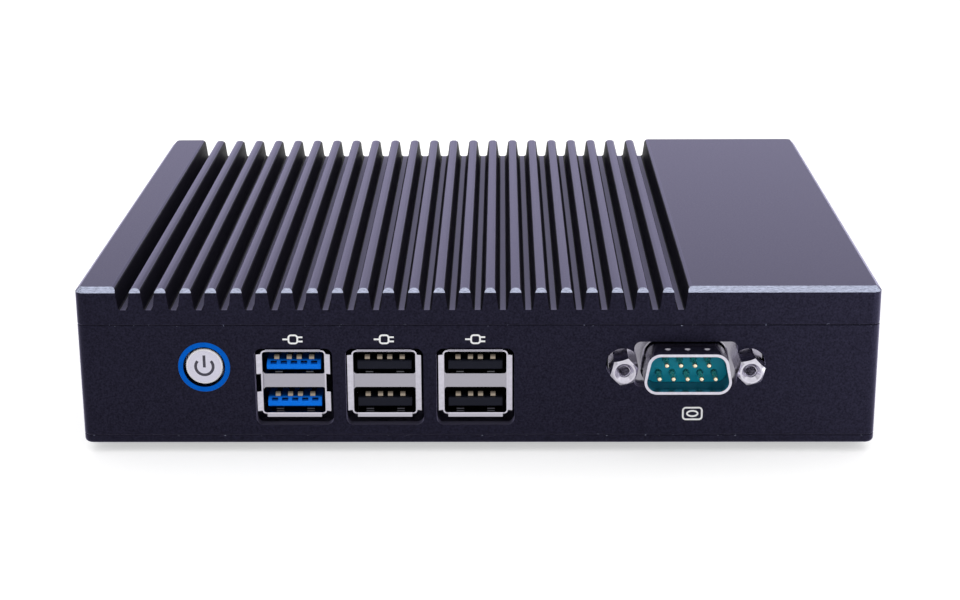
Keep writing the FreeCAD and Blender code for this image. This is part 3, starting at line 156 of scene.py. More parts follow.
class FanlessLidSizes(bpy.types.PropertyGroup):
    """Sizes of the finned lid that its box does not give."""
    fins: bpy.props.IntProperty(name="Fins", description="Fins between the two plain blocks", default=22)
    pitch: length("Pitch", "From one fin to the next", 5.03)
    groove_width: length("Groove width", "Width of a groove between two plain blocks", 3.06)
    groove_taper: length("Groove taper", "How much a groove narrows on each side down to its floor", 0.62)
    groove_depth: length("Groove depth", "Depth of a groove", 4.6)
    fin_drop: length("Fin drop", "How far the fins stay below the plain blocks", 0.25)
    root_radius: length("Root radius", "Rounding at the bottom of a groove", 0.5)
    left_block: length("Left block", "Plain width left of the first groove", 8.05)
    block_edge: length("Block edge", "Rounding of the plain blocks beside a groove", 0.8)
    rim_bevel: length("Rim bevel", "Bevel round the upper rim", 1.05)
    corner_radius: length("Corner radius", "Rounding of the upright corners", 2.0)
    mill_start: turn("Mill start", "Turn round a corner at which the milled finish begins", 25)
    seam_break: length("Seam break", "Bevel along the lower rim, at the seam", 0.2)


class FanlessMarkSizes(bpy.types.PropertyGroup):
    """Sizes of the marks on the button and the front panel."""
    symbol_radius: length("Symbol radius", "Middle line of the power symbol's ring", 1.76)
    symbol_gap: turn("Symbol gap", "Opening at the top of the ring", 98)
    symbol_top: length("Bar top", "Top of the bar above the button's middle", 2.36)
    symbol_bottom: length("Bar bottom", "Bottom of the bar below the button's middle", 0.18)
    symbol_line: length("Symbol line", "Width of the power symbol's lines", 0.57)
    # From cap_rim outwards the button cap is lightened as a painted highlight.
    cap_rim: length("Cap rim", "Radius from which the button cap is polished", 3.38)
    # Within ring_bore the light ring is unlit and painted near black as the shade of the gap round the cap.
    ring_bore: length("Ring bore", "Radius of the light ring's dark bore", 4.22)
    print_line: length("Print line", "Width of the printed lines", 0.36)
    print_height: length("Print height", "How far the print stands proud", 0.02)
    plug_width: length("Plug width", "Width of the plug mark", 4.0)
    plug_height: length("Plug height", "Height of the plug mark", 1.7)
    plug_rise: length("Plug rise", "Plug mark above the sleeve of its socket", 1.95)
    screen_width: length("Screen width", "Width of the screen mark", 3.8)
    screen_height: length("Screen height", "Height of the screen mark", 2.5)
    screen_radius: length("Screen radius", "Corner rounding of the screen mark", 0.6)
    screen_shift: length("Screen shift", "Screen mark to the right of the serial connector's middle", 1.6)
    screen_drop: length("Screen drop", "Screen mark below the serial connector's middle", 10.5)


class FanlessFastenerSizes(bpy.types.PropertyGroup):
    """Sizes of the screws, threads and feet."""
    head_radius: length("Head radius", "Countersunk head of the cover screws", 2.8)
    shank_radius: length("Shank radius", "Shank of the cover screws", 1.5)
    cross_width: length("Cross width", "Width of one slot of the cross recess", 0.8)
    cross_reach: length("Cross reach", "Half the length of one slot of the cross recess", 1.6)
    cross_depth: length("Cross depth", "Depth of the cross recess", 1.1)
    foot_radius: length("Foot radius", "Radius of a foot where it is stuck on", 6.0)
    foot_edge: length("Foot edge", "Rounding of the lower edge of a foot", 0.7)
    foot_draft: length("Foot draft", "How much a foot narrows down to its lower edge", 0.3)
    foot_dish: length("Foot dish", "Depth of the shallow dish under a foot", 0.25)
    jack_spacing: length("Jackscrew spacing", "From one jackscrew to the other", 25.0)
    jack_bore: length("Jackscrew bore", "Radius of a jackscrew's bore", 1.2)
    jack_pitch: length("Jackscrew pitch", "Thread pitch of the jackscrews", 0.635)
    jack_start: length("Jackscrew start", "Start of the thread behind the front", 1.0)
    jack_thread: length("Jackscrew thread", "Length of the thread in a jackscrew", 3.8)
    bush_half: length("Bush half width", "Radius of a bush's head", 3.6)
    bush_bore: length("Bush bore", "Radius of a bush's bore", 1.65)
    bush_pitch: length("Bush pitch", "Thread pitch of the bushes", 0.7)
    bush_thread: length("Bush thread", "Length of the thread in a bush", 3.4)


class FanlessSocketSizes(bpy.types.PropertyGroup):
    """Sizes in the stacked sockets and the serial connector."""
    # mouth_depth and flap_height set where the sockets' nickel keeps its painted light and where painted
    # shade darkens it.
    mouth_depth: length("Mouth depth", "How far the mouths are polished", 0.8)
    flap_height: length("Flap height", "Height of the lower flaps, which are duller", 0.62)
    # rim_depth and rim_shade set where the serial connector's nickel keeps its painted light and where
    # painted shade darkens it fully.
    rim_depth: length("Rim depth", "How far the serial connector's rim is polished", 0.45)
    rim_shade: length("Rim shade", "Depth behind the serial connector's rim where it is darkest", 1.6)
    # shade_start and shade_end bound the painted shade inside the stacked sockets' mouldings.
    shade_start: length("Shade start", "Depth behind a tongue's front where it begins to darken", 0.1)
    shade_end: length("Shade end", "Depth behind a tongue's front where it is darkest", 1.9)
    # contact_start and contact_end bound the painted shade on the contacts behind their fronts.
    contact_start: length("Contact start", "Depth behind a contact's front where it begins to darken", 0.10)
    contact_end: length("Contact end", "Depth behind a contact's front where it is darkest", 0.28)
    floor: length("Floor", "Floor of the lower port above the tip of the lower flap", 0.75)
    port_step: length("Port step", "From the lower port to the upper one", 7.9)
    spring_offset: length("Spring offset", "A spring beside the middle of its port", 3.1)
    spring_width: length("Spring width", "Width of a spring", 1.5)
    spring_sheet: length("Spring sheet", "Thickness of a spring", 0.2)
    spring_rise: length("Spring rise", "Ridge of a spring above the port's floor", 0.62)
    spring_front: length("Spring front", "Front end of a spring behind the mouth", 2.0)
    spring_ridge: length("Spring ridge", "Ridge of a spring behind the mouth", 3.6)
    spring_rear: length("Spring rear", "Rear end of a spring behind the mouth", 9.0)


class FanlessColours(bpy.types.PropertyGroup):
    """Base colours of the finishes, and the glow of the light ring."""
    anodised: colour("Anodised", "Black violet anodised aluminium", 0.0160, 0.0150, 0.0285)
    anodised_edge: colour("Anodised edge", "Anodised aluminium seen at a low angle", 0.85, 0.83, 0.96)
    anodised_sheen: colour("Anodised sheen", "Violet sheen of the anodised skin", 0.63, 0.59, 0.93)
    # The groove walls' colour is the anodised skin darkened as painted shade of the grooves.
    groove: colour("Groove walls", "Sides of the fins", 0.0080, 0.0070, 0.0140)
    # The groove floors' colour is the anodised skin brightened as painted light.
    groove_floor: colour("Groove floors", "Thinly anodised floors between the fins", 0.120, 0.115, 0.180)
    milled: colour("Milled bevel", "Bare milled aluminium", 0.43, 0.46, 0.60)
    nickel: colour("Nickel", "Bright nickel plate", 0.59, 0.57, 0.65)
    # The springs' colour is nickel darkened as painted shade deep in the sockets.
    spring: colour("Spring steel", "Springs in the stacked sockets", 0.10, 0.10, 0.11)
    # The dull gold is gold darkened as painted shade deep in the sockets.
    shaded_gold: colour("Dull gold", "Worn contacts in the stacked sockets", 0.30, 0.25, 0.20)
    gold: colour("Gold", "Thin gold plate", 0.88, 0.76, 0.55)
    ring: colour("Light ring", "Lit blue ring round the button", 0.0005, 0.101, 0.515)
    ring_glow: level("Ring glow", "Strength of the light in the ring", 0.1)
    cap: colour("Button cap", "Satin silver cap", 0.75, 0.73, 0.86)
    blue: colour("Blue plastic", "Moulding of the fast sockets", 0.001, 0.185, 0.87)
    teal: colour("Teal plastic", "Moulding of the serial connector", 0.001, 0.34, 0.49)
    black: colour("Black plastic", "Black mouldings", 0.012, 0.013, 0.022)
    rubber: colour("Rubber", "Black rubber feet", 0.016, 0.016, 0.017)
    screw: colour("Screw steel", "Black oxide screws", 0.045, 0.045, 0.050)
    laminate: colour("Laminate", "Green circuit board", 0.012, 0.085, 0.035)
    package: colour("Chip package", "Moulded chip package", 0.022, 0.022, 0.026)
    aluminium: colour("Aluminium", "Plain aluminium", 0.66, 0.67, 0.69)
    pad: colour("Soft pad", "Soft heat-conducting sheet", 0.26, 0.32, 0.40)
    brass: colour("Brass", "Turned brass", 0.62, 0.45, 0.17)
    steel: colour("Cell steel", "Pressed steel of the coin cell", 0.58, 0.59, 0.60)
    resin: colour("Clear resin", "Body of the small lamps", 0.68, 0.70, 0.60)
    print: colour("Print", "White print on the panel", 0.97, 0.97, 0.99)
    symbol: colour("Symbol", "Dark print on the button", 0.050, 0.045, 0.070)


class FanlessStage(bpy.types.PropertyGroup):
    """Camera, light and floor."""
    camera_place: bpy.props.FloatVectorProperty(
        name="Camera place", description="Where the camera stands", subtype="TRANSLATION", unit="LENGTH",
        default=(4.90 * MM, -434.90 * MM, 153.06 * MM))
    pitch: turn("Pitch", "How far the camera looks down", 17.89)
    yaw: turn("Yaw", "How far the camera looks to the right", -0.675)
    roll: turn("Roll", "How far the camera leans", -0.28)
    lens: level("Lens", "Focal length in millimetres on a 36 mm wide sensor", 74.47)
    floor_size: length("Floor size", "Side of the square floor", 12000)
    floor_colour: colour("Floor", "Pale floor", 0.75, 0.75, 0.75)
    floor_glow: level("Floor glow", "Whitening of the floor as the camera sees it", 0.50)
    mirror_glow: level("Mirror glow", "Whitening of the floor as shiny surfaces see it", 0.20)
    side_glow: level("Side glow", "Further whitening to the right, as shiny surfaces see it", 2.2)
    side_reach: length("Side reach", "How far to the right the further whitening is full", 200)
    horizon: level("Horizon", "Strength of the surroundings near the horizon", 1.0)
    overhead: level("Overhead", "Strength of the surroundings overhead", 0.55)
    lamp: level("Lamp", "Strength of the soft lamp", 1.0)
    lamp_angle: turn("Lamp softness", "Angle that the soft lamp covers", 110)
    lamp_front: turn("Lamp front", "How far the lamp stands to the front of straight overhead", 14)
    lamp_right: turn("Lamp right", "How far the lamp stands to the right of straight overhead", 12)


def lid_sizes():
    return bpy.context.scene.fanless_lid


def mark_sizes():
    return bpy.context.scene.fanless_marks


def fastener_sizes():
    return bpy.context.scene.fanless_fasteners


def socket_sizes():
    return bpy.context.scene.fanless_sockets


def colours():
    return bpy.context.scene.fanless_colours


# Node helpers


def feed(tree, value, socket):
    """Sets an input socket to a plain value, or links it to an output or to each output of a list."""
    for source in value if isinstance(value, list) else [value]:
        if isinstance(source, bpy.types.NodeSocket):
            tree.links.new(source, socket)
        else:
            socket.default_value = source


def add(tree, kind, settings=None, inputs=None):
    """A new node with its settings and with plain values or other nodes' outputs on its inputs."""
    made = tree.nodes.new(kind)
    for name, value in (settings or {}).items():
        setattr(made, name, value)
    for name, value in (inputs or {}).items():
        feed(tree, value, made.inputs[name])
    return made


def maths(tree, operation, first, second=0.0):
    """Result of a maths node on two outputs or numbers."""
    made = add(tree, "ShaderNodeMath", {"operation": operation}, {0: first, 1: second})
    return made.outputs["Value"]


# Finishes


def shade(base, factor):
    """A colour made lighter or darker, with full opacity."""
    return tuple(min(1.0, part * factor) for part in base) + (1.0,)


def grained(name, base, grain, spread=0.15, roughness=0.5, rough_spread=0.06, relief=0.004,
            stretch=(1.0, 1.0, 1.0), gloss=None):
    """A finish whose colour, roughness and relief follow a fine noise; grain and relief in millimetres."""
    finish = bpy.data.materials.new(name)
    finish.use_nodes = True
    tree = finish.node_tree
    place = add(tree, "ShaderNodeTexCoord", {"name": "place"})
    mapping = add(tree, "ShaderNodeMapping", inputs={"Vector": place.outputs["Object"], "Scale": stretch})
    noise = add(tree, "ShaderNodeTexNoise", inputs={
        "Vector": mapping.outputs["Vector"], "Scale": 1 / (grain * MM), "Detail": 3.0, "Roughness": 0.6})
    tint = add(tree, "ShaderNodeValToRGB", inputs={"Fac": noise.outputs["Fac"]})
    for stop, place_on_ramp, factor in zip(tint.color_ramp.elements, GRAIN_RANGE, (1 - spread, 1 + spread)):
        stop.position = place_on_ramp
        stop.color = shade(base, factor)
    dullness = add(tree, "ShaderNodeMapRange", inputs={
        "Value": noise.outputs["Fac"], "From Min": GRAIN_RANGE[0], "From Max": GRAIN_RANGE[1],
        "To Min": roughness - rough_spread, "To Max": roughness + rough_spread})
    bumps = add(tree, "ShaderNodeBump", inputs={
        "Height": noise.outputs["Fac"], "Strength": 1.0, "Distance": relief * MM})
    skin = {"Base Color": tint.outputs["Color"], "Roughness": dullness.outputs["Result"],
            "Normal": bumps.outputs["Normal"], **(gloss or {})}
    for socket, value in skin.items():
        feed(tree, value, tree.nodes["Principled BSDF"].inputs[socket])
    return finish


def tinted_where(finish, amount, other):
    """Mixes another colour into a finish where an amount socket says so."""
    tree = finish.node_tree
    skin = tree.nodes["Principled BSDF"].inputs["Base Color"]
    mix = add(tree, "ShaderNodeMix", {"data_type": "RGBA"})
    sockets = {socket.identifier: socket for socket in mix.inputs}
    feed(tree, amount, sockets["Factor_Float"])
    feed(tree, skin.links[0].from_socket, sockets["A_Color"])
    feed(tree, other, sockets["B_Color"])
    result = next(socket for socket in mix.outputs if socket.identifier == "Result_Color")
    feed(tree, result, skin)


def along(finish, axis):
    """Where each point of a finish lies along an axis."""
    tree = finish.node_tree
    split = add(tree, "ShaderNodeSeparateXYZ", inputs={"Vector": tree.nodes["place"].outputs["Object"]})
    return split.outputs[axis]


def axis_distance(finish, middle):
    """Distance of each point of a finish from the button's axis."""
    tree = finish.node_tree
    flat = add(tree, "ShaderNodeVectorMath", {"operation": "MULTIPLY"},
               {0: tree.nodes["place"].outputs["Object"], 1: (1.0, 0.0, 1.0)})
    away = add(tree, "ShaderNodeVectorMath", {"operation": "DISTANCE"},
               {0: flat.outputs["Vector"], 1: (middle.x, 0.0, middle.z)})
    return away.outputs["Value"]


def worn_seams_and_highlights(finish, heights, bright):
    """Pale specks of bare metal along the edges at the given heights, part wear and part painted highlight
    of the seam edges.
    """
    tree = finish.node_tree
    specks = add(tree, "ShaderNodeTexNoise", inputs={
        "Vector": tree.nodes["place"].outputs["Object"], "Scale": 1 / SPECK_SIZE, "Detail": 2.0})
    chance = add(tree, "ShaderNodeMapRange", inputs={
        "Value": specks.outputs["Fac"], "From Min": SPECK_RANGE[0], "From Max": SPECK_RANGE[1]})
    level_z = along(finish, "Z")
    near = 0.0
    for height in heights:
        away = maths(tree, "ABSOLUTE", maths(tree, "SUBTRACT", level_z, height))
        near = maths(tree, "MAXIMUM", maths(tree, "LESS_THAN", away, SEAM_SPECK_REACH), near)
    tinted_where(finish, maths(tree, "MULTIPLY", near, chance.outputs["Result"]), bright)


def painted_shade_inside(finish, start, end, dark):
    """Paints shade into a finish: mixes a dark colour in from one depth behind the front to another."""
    depth = add(finish.node_tree, "ShaderNodeMapRange", inputs={
        "Value": along(finish, "Y"), "From Min": start, "From Max": end})
    tinted_where(finish, depth.outputs["Result"], dark)
    return finish


def anodised(name, base, sheen):
    """Bead-blasted aluminium, anodised, with a violet sheen."""
    gloss = {"Metallic": 1.0, "Specular Tint": shade(colours().anodised_edge, 1), "Sheen Weight": sheen,
             "Sheen Roughness": 0.35, "Sheen Tint": shade(colours().anodised_sheen, 1)}
    return grained(name, base, grain=0.38, spread=0.45, roughness=0.40, relief=0.010, gloss=gloss)


def black_anodised():
    """The housing's black skin, with bare specks along the seams, part wear and part painted highlight."""
    finish = anodised("black_anodised", colours().anodised, sheen=0.75)
    worn_seams_and_highlights(finish, (lid_low.z, walls_low.z), shade(colours().milled, SEAM_SPECK_BRIGHTNESS))
    return finish


def groove_wall():
    """Sides of the fins, painted near black as the shade inside the grooves, with faint drawing marks."""
    return grained("groove_wall", colours().groove, grain=0.3, spread=0.4, roughness=0.5, relief=0.004,
                   stretch=(1.0, 0.05, 1.0), gloss={"Specular IOR Level": 0.07})


def milled_bevel():
    """Bare aluminium left by the end mill, with streaks along the bevel."""
    return grained("milled_bevel", colours().milled, grain=0.15, spread=0.40, roughness=0.30,
                   rough_spread=0.10, relief=0.008, stretch=(0.15, 1.0, 1.0), gloss={"Metallic": 1.0})


def nickel_plate(name, brightness=1.0):
    """Thin bright plate with faint drawing marks."""
    return grained(name, shade(colours().nickel, brightness)[:3], grain=0.8, spread=0.08, roughness=0.16,
                   rough_spread=0.04, relief=0.0008, stretch=(1.0, 0.3, 1.0), gloss={"Metallic": 1.0})


def socket_nickel():
    """Plate of the stacked sockets: mouths lightened as painted light, with painted shade behind them and on
    the lower flaps.
    """
    finish = nickel_plate("socket_nickel", MOUTH_PAINTED_LIGHT)
    sizes = socket_sizes()
    low = maths(finish.node_tree, "LESS_THAN", along(finish, "Z"), sleeve_low.z + sizes.flap_height)
    tinted_where(finish, low, shade(colours().nickel, FLAP_SHADE))
    depth = sleeve_low.y + sizes.mouth_depth
    return painted_shade_inside(finish, depth, depth + MERGE, shade(colours().nickel, SLEEVE_SHADE))


def serial_nickel():
    """Plate of the serial connector: a rim lightened as painted light, with painted shade darkening it
    towards the flange.
    """
    finish = nickel_plate("serial_nickel", MOUTH_PAINTED_LIGHT)
    sizes = socket_sizes()
    depth = serial_y + sizes.rim_depth
    return painted_shade_inside(finish, depth, depth + sizes.rim_shade, shade(colours().nickel, FLANGE_SHADE))


def gold_plate(name, base):
    """Thin gold plate on stamped contacts and turned pins."""
    return grained(name, base, grain=0.3, spread=0.12, roughness=0.25, relief=0.002, gloss={"Metallic": 1.0})


def socket_gold():
    """Gold of the stacked sockets, darkened as painted shade deep in the sockets, and darker again as
    painted shade behind the front of the contacts.
    """
    sizes = socket_sizes()
    base = colours().shaded_gold
    return painted_shade_inside(gold_plate("socket_gold", base), contact_y + sizes.contact_start,
                         contact_y + sizes.contact_end, shade(base, CONTACT_SHADE))


def blue_light_ring():
    """Milky light guide, lit from behind; its bore is unlit and painted near black as the shade of the gap
    round the cap.
    """
    glow = colours().ring
    finish = grained("blue_light_ring", glow, grain=0.8, spread=0.08, roughness=0.30, relief=0.002,
                     gloss={"Specular IOR Level": 0.03, "Emission Color": shade(glow, 1)})
    tree = finish.node_tree
    outside = maths(tree, "GREATER_THAN", axis_distance(finish, (cap_low + cap_high) / 2),
                    mark_sizes().ring_bore)
    tinted_where(finish, maths(tree, "SUBTRACT", 1.0, outside), shade(glow, BORE_SHADE))
    strength = tree.nodes["Principled BSDF"].inputs["Emission Strength"]
    feed(tree, maths(tree, "MULTIPLY", outside, colours().ring_glow), strength)
    return finish


def silver_button():
    """Satin silver skin of the button cap, with a rim lightened as a painted highlight."""
    finish = grained("silver_button", colours().cap, grain=0.12, spread=0.05, roughness=0.34, relief=0.002,
                     gloss={"Specular IOR Level": 0.4})
    away = axis_distance(finish, (cap_low + cap_high) / 2)
    rim = maths(finish.node_tree, "GREATER_THAN", away, mark_sizes().cap_rim)
    tinted_where(finish, rim, shade(colours().cap, CAP_RIM_HIGHLIGHT))
    return finish


def moulded(name, base, roughness=0.42, specular=0.2):
    """A satin moulding with the fine texture of its mould."""
    return grained(name, base, grain=0.18, spread=0.12, roughness=roughness, relief=0.002,
                   gloss={"Specular IOR Level": specular})


def tongue_plastic_in_shade(name, base):
    """Moulding of a stacked socket, darkened as painted shade behind the front of its tongues."""
    sizes = socket_sizes()
    finish = moulded(name, base, roughness=0.36, specular=0.08)
    return painted_shade_inside(finish, tongue_y + sizes.shade_start, tongue_y + sizes.shade_end,
                         shade(base, TONGUE_SHADE))


def black_rubber():
    """Matt moulded rubber."""
    return grained("black_rubber", colours().rubber, grain=0.35, spread=0.2, roughness=0.75, relief=0.02,
                   gloss={"Specular IOR Level": 0.3})


def dark_screw_steel():
    """Black oxide on turned steel."""
    return grained("dark_screw_steel", colours().screw, grain=0.2, spread=0.25, roughness=0.38,
                   relief=0.003, gloss={"Metallic": 0.8})


def board_laminate():
    """Green solder mask, slightly uneven."""
    return grained("board_laminate", colours().laminate, grain=0.5, spread=0.25, roughness=0.35,
                   relief=0.006)


def bare_metal(name, base, roughness=0.32):
    """Turned or milled metal with fine tool marks."""
    return grained(name, base, grain=0.25, spread=0.10, roughness=roughness, relief=0.003,
                   stretch=(1.0, 1.0, 0.2), gloss={"Metallic": 1.0})


def soft_pad():
    """Soft sheet with filler grains."""
    return grained("soft_pad", colours().pad, grain=0.3, spread=0.15, roughness=0.8, relief=0.01)


def panel_print(name, base):
    """Screen print, slightly uneven."""
    return grained(name, base, grain=0.15, spread=0.06, roughness=0.55, relief=0.002)


# Finish of each material slot of the record, and finer ones for the connectors and their springs, which
# darken their slot's material as painted shade and lighten the mouths as painted light.
FINISHES = {
    "dark_anodised_aluminium": black_anodised,
    "black_rubber": black_rubber,
    "dark_screw_steel": dark_screw_steel,
    "board_laminate": board_laminate,
    "chip_package": lambda: moulded("chip_package", colours().package, roughness=0.5),
    "bare_aluminium": lambda: bare_metal("bare_aluminium", colours().aluminium),
    "soft_pad": soft_pad,
    "black_plastic": lambda: moulded("black_plastic", colours().black),
    "standoff_brass": lambda: bare_metal("standoff_brass", colours().brass, roughness=0.28),
    "cell_steel": lambda: bare_metal("cell_steel", colours().steel, roughness=0.25),
    "silver_button": silver_button,
    "blue_light_ring": blue_light_ring,
    "led_body": lambda: moulded("led_body", colours().resin, roughness=0.2),
    "blue_plastic": lambda: tongue_plastic_in_shade("blue_plastic", colours().blue),
    "contact_gold": lambda: gold_plate("contact_gold", colours().gold),
    "bright_nickel": lambda: nickel_plate("bright_nickel"),
    "teal_plastic": lambda: moulded("teal_plastic", colours().teal, roughness=0.36),
    "socket_black": lambda: tongue_plastic_in_shade("socket_black", colours().black),
    "socket_gold": socket_gold,
    "socket_nickel": socket_nickel,
    "serial_nickel": serial_nickel,
    "spring_steel": lambda: bare_metal("spring_steel", colours().spring),
}
FINER_FINISHES = {"usb_a_insulator": "socket_black", "usb_b_insulator": "socket_black",
                  "serial_sleeve": "serial_nickel"}
for socket_name in SOCKETS:
    FINER_FINISHES[f"{socket_name}_contacts"] = "socket_gold"
    FINER_FINISHES[f"{socket_name}_sleeve"] = "socket_nickel"
made_finishes = {}


def finish_of(name):
    """A finish by its name, made once."""
    if name not in made_finishes:
        made_finishes[name] = FINISHES[name]()
    return made_finishes[name]


# Geometry node trees


def new_tree(name, inputs):
    """A tree that takes a base mesh, named inputs and a finish, and the sockets that give them."""
    tree = bpy.data.node_groups.new(name, "GeometryNodeTree")
    sockets = {"Base": "NodeSocketGeometry", **inputs, "Finish": "NodeSocketMaterial"}
    for label, kind in sockets.items():
        tree.interface.new_socket(label, in_out="INPUT", socket_type=kind)
    tree.interface.new_socket("Result", in_out="OUTPUT", socket_type="NodeSocketGeometry")
    return tree, add(tree, "NodeGroupInput").outputs


def end_tree(tree, given, shape):
    """Closes a tree: what it made becomes real geometry and takes the finish."""
    real = add(tree, "GeometryNodeRealizeInstances", inputs={"Geometry": shape})
    painted = add(tree, "GeometryNodeSetMaterial", inputs={
        "Geometry": real.outputs["Geometry"], "Material": given["Finish"]})
    add(tree, "NodeGroupOutput", inputs={"Result": painted.outputs["Geometry"]})
    return tree


def grow(tree, base, finish, **values):
    """The plain mesh that a tree grows from a base mesh; inputs are given in lower case with underscores."""
    values["finish"] = finish
    seed = bpy.data.objects.new(tree.name, base)
    rule = seed.modifiers.new("rule", "NODES")
    rule.node_group = tree
    for item in tree.interface.items_tree:
        label = item.name.lower().replace(" ", "_")
        if item.in_out == "INPUT" and label in values:
            rule[item.identifier] = values[label]
    bpy.context.scene.collection.objects.link(seed)
    graph = bpy.context.evaluated_depsgraph_get()
    mesh = bpy.data.meshes.new_from_object(seed.evaluated_get(graph), depsgraph=graph)
    seed.modifiers.remove(rule)
    bpy.data.objects.remove(seed)
    if not mesh.polygons:
        raise RuntimeError(f"the tree {tree.name} grew nothing")
    return mesh


def joined(tree, first, second):
    """Two shapes as one, with what lies together merged."""
    both = add(tree, "GeometryNodeJoinGeometry", inputs={"Geometry": [first, second]})
    merged = add(tree, "GeometryNodeMergeByDistance", inputs={
        "Geometry": both.outputs["Geometry"], "Distance": MERGE})
    return merged.outputs["Geometry"]


def fin_tree():
    """Closed cross-section whose fin line repeats at a pitch, drawn out to a depth and stood up."""
    tree, given = new_tree("fins_at_a_pitch", {
        "Fins": "NodeSocketInt", "Pitch": "NodeSocketFloat", "Depth": "NodeSocketFloat",
        "Rear": "NodeSocketFloat"})
    repeats = add(tree, "GeometryNodeInputNamedAttribute", {"data_type": "BOOLEAN"}, {"Name": "repeats"})
    parts = add(tree, "GeometryNodeSeparateGeometry", {"domain": "EDGE"}, {
        "Geometry": given["Base"], "Selection": repeats.outputs["Attribute"]})
    step = add(tree, "ShaderNodeCombineXYZ", inputs={"X": given["Pitch"]})
    places = add(tree, "GeometryNodeMeshLine", {"mode": "OFFSET"}, {
        "Count": given["Fins"], "Offset": step.outputs["Vector"]})
    fins = add(tree, "GeometryNodeInstanceOnPoints", inputs={
        "Points": places.outputs["Mesh"], "Instance": parts.outputs["Selection"]})
    lines = add(tree, "GeometryNodeRealizeInstances", inputs={"Geometry": fins.outputs["Instances"]})
    closed = joined(tree, lines.outputs["Geometry"], parts.outputs["Inverted"])
    section = add(tree, "GeometryNodeMeshToCurve", inputs={"Mesh": closed})
    face = add(tree, "GeometryNodeFillCurve", {"mode": "NGONS"}, {"Curve": section.outputs["Curve"]})
    reach = add(tree, "ShaderNodeCombineXYZ", inputs={"Z": given["Depth"]})
    drawn = add(tree, "GeometryNodeExtrudeMesh", {"mode": "FACES"}, {
        "Mesh": face.outputs["Mesh"], "Offset": reach.outputs["Vector"], "Individual": False})
    back = add(tree, "GeometryNodeFlipFaces", inputs={"Mesh": face.outputs["Mesh"]})
    solid = joined(tree, drawn.outputs["Mesh"], back.outputs["Mesh"])
    move = add(tree, "ShaderNodeCombineXYZ", inputs={"Y": given["Rear"]})
    stood = add(tree, "GeometryNodeTransform", inputs={
        "Geometry": solid, "Translation": move.outputs["Vector"], "Rotation": (math.radians(90), 0, 0)})
    return end_tree(tree, given, stood.outputs["Geometry"])


def copies_tree():
    """Copies of a base shape in columns and rows."""
    tree, given = new_tree("copies_in_rows", {
        "Columns": "NodeSocketInt", "Rows": "NodeSocketInt",
        "Column Step": "NodeSocketVector", "Row Step": "NodeSocketVector"})
    columns, rows = [
        add(tree, "GeometryNodeMeshLine", {"mode": "OFFSET"}, {"Count": given[count], "Offset": given[step]})
        for count, step in (("Columns", "Column Step"), ("Rows", "Row Step"))]
    grid = add(tree, "GeometryNodeInstanceOnPoints", inputs={
        "Points": rows.outputs["Mesh"], "Instance": columns.outputs["Mesh"]})
    places = add(tree, "GeometryNodeRealizeInstances", inputs={"Geometry": grid.outputs["Instances"]})
    copied = add(tree, "GeometryNodeInstanceOnPoints", inputs={
        "Points": places.outputs["Geometry"], "Instance": given["Base"]})
    return end_tree(tree, given, copied.outputs["Instances"])


def swept(tree, path, radius, sides):
    """A closed ridge of round section along a path."""
    section = add(tree, "GeometryNodeCurvePrimitiveCircle", inputs={"Resolution": sides, "Radius": radius})
    ridge = add(tree, "GeometryNodeCurveToMesh", inputs={
        "Curve": path, "Profile Curve": section.outputs["Curve"], "Fill Caps": True})
    return ridge.outputs["Mesh"]


def line_tree():
    """Raised lines of flat oval section along the edges of a drawing, set at a place."""
    tree, given = new_tree("raised_lines", {
        "Line Width": "NodeSocketFloat", "Line Height": "NodeSocketFloat", "Place": "NodeSocketVector"})
    half = maths(tree, "MULTIPLY", given["Line Width"], 0.5)
    path = add(tree, "GeometryNodeMeshToCurve", inputs={"Mesh": given["Base"]})
    squash = add(tree, "ShaderNodeCombineXYZ", inputs={
        "X": 1.0, "Y": maths(tree, "DIVIDE", given["Line Height"], half), "Z": 1.0})
    flat = add(tree, "GeometryNodeTransform", inputs={
        "Geometry": swept(tree, path.outputs["Curve"], half, LINE_SIDES),
        "Scale": squash.outputs["Vector"], "Translation": given["Place"]})
    return end_tree(tree, given, flat.outputs["Geometry"])


def thread_tree():
    """Ridge along a helix in every place of the base, turned to lie along the bore."""
    tree, given = new_tree("thread_turns", {
        "Turns": "NodeSocketFloat", "Bore": "NodeSocketFloat", "Thread Length": "NodeSocketFloat",
        "Ridge": "NodeSocketFloat", "Turned": "NodeSocketRotation"})
    helix = add(tree, "GeometryNodeCurveSpiral", inputs={
        "Resolution": THREAD_STEPS, "Rotations": given["Turns"], "Start Radius": given["Bore"],
        "End Radius": given["Bore"], "Height": given["Thread Length"]})
    cut = add(tree, "GeometryNodeInstanceOnPoints", inputs={
        "Points": given["Base"], "Rotation": given["Turned"],
        "Instance": swept(tree, helix.outputs["Curve"], given["Ridge"], RIDGE_SIDES)})
    return end_tree(tree, given, cut.outputs["Instances"])


# Mesh helpers


def arc(x, z, radius, start, end, steps=ROUND_STEPS):
    """Points of a round stretch between two angles in degrees, both ends included."""
    turns = [math.radians(start + (end - start) * step / steps) for step in range(steps + 1)]
    return [(x + radius * math.cos(angle), z + radius * math.sin(angle)) for angle in turns]


def line_mesh(name, paths, upright=True):
    """A mesh of lines in the upright XZ plane or the flat XY plane; a path is (points, closed)."""
    points, edges = [], []
    for path, closed in paths:
        first = len(points)
        points += [(x, 0, z) if upright else (x, z, 0) for x, z in path]
        edges += [(first + step, first + step + 1) for step in range(len(path) - 1)]
        if closed:
            edges.append((first + len(path) - 1, first))
    mesh = bpy.data.meshes.new(name)
    mesh.from_pydata(points, edges, [])
    return mesh


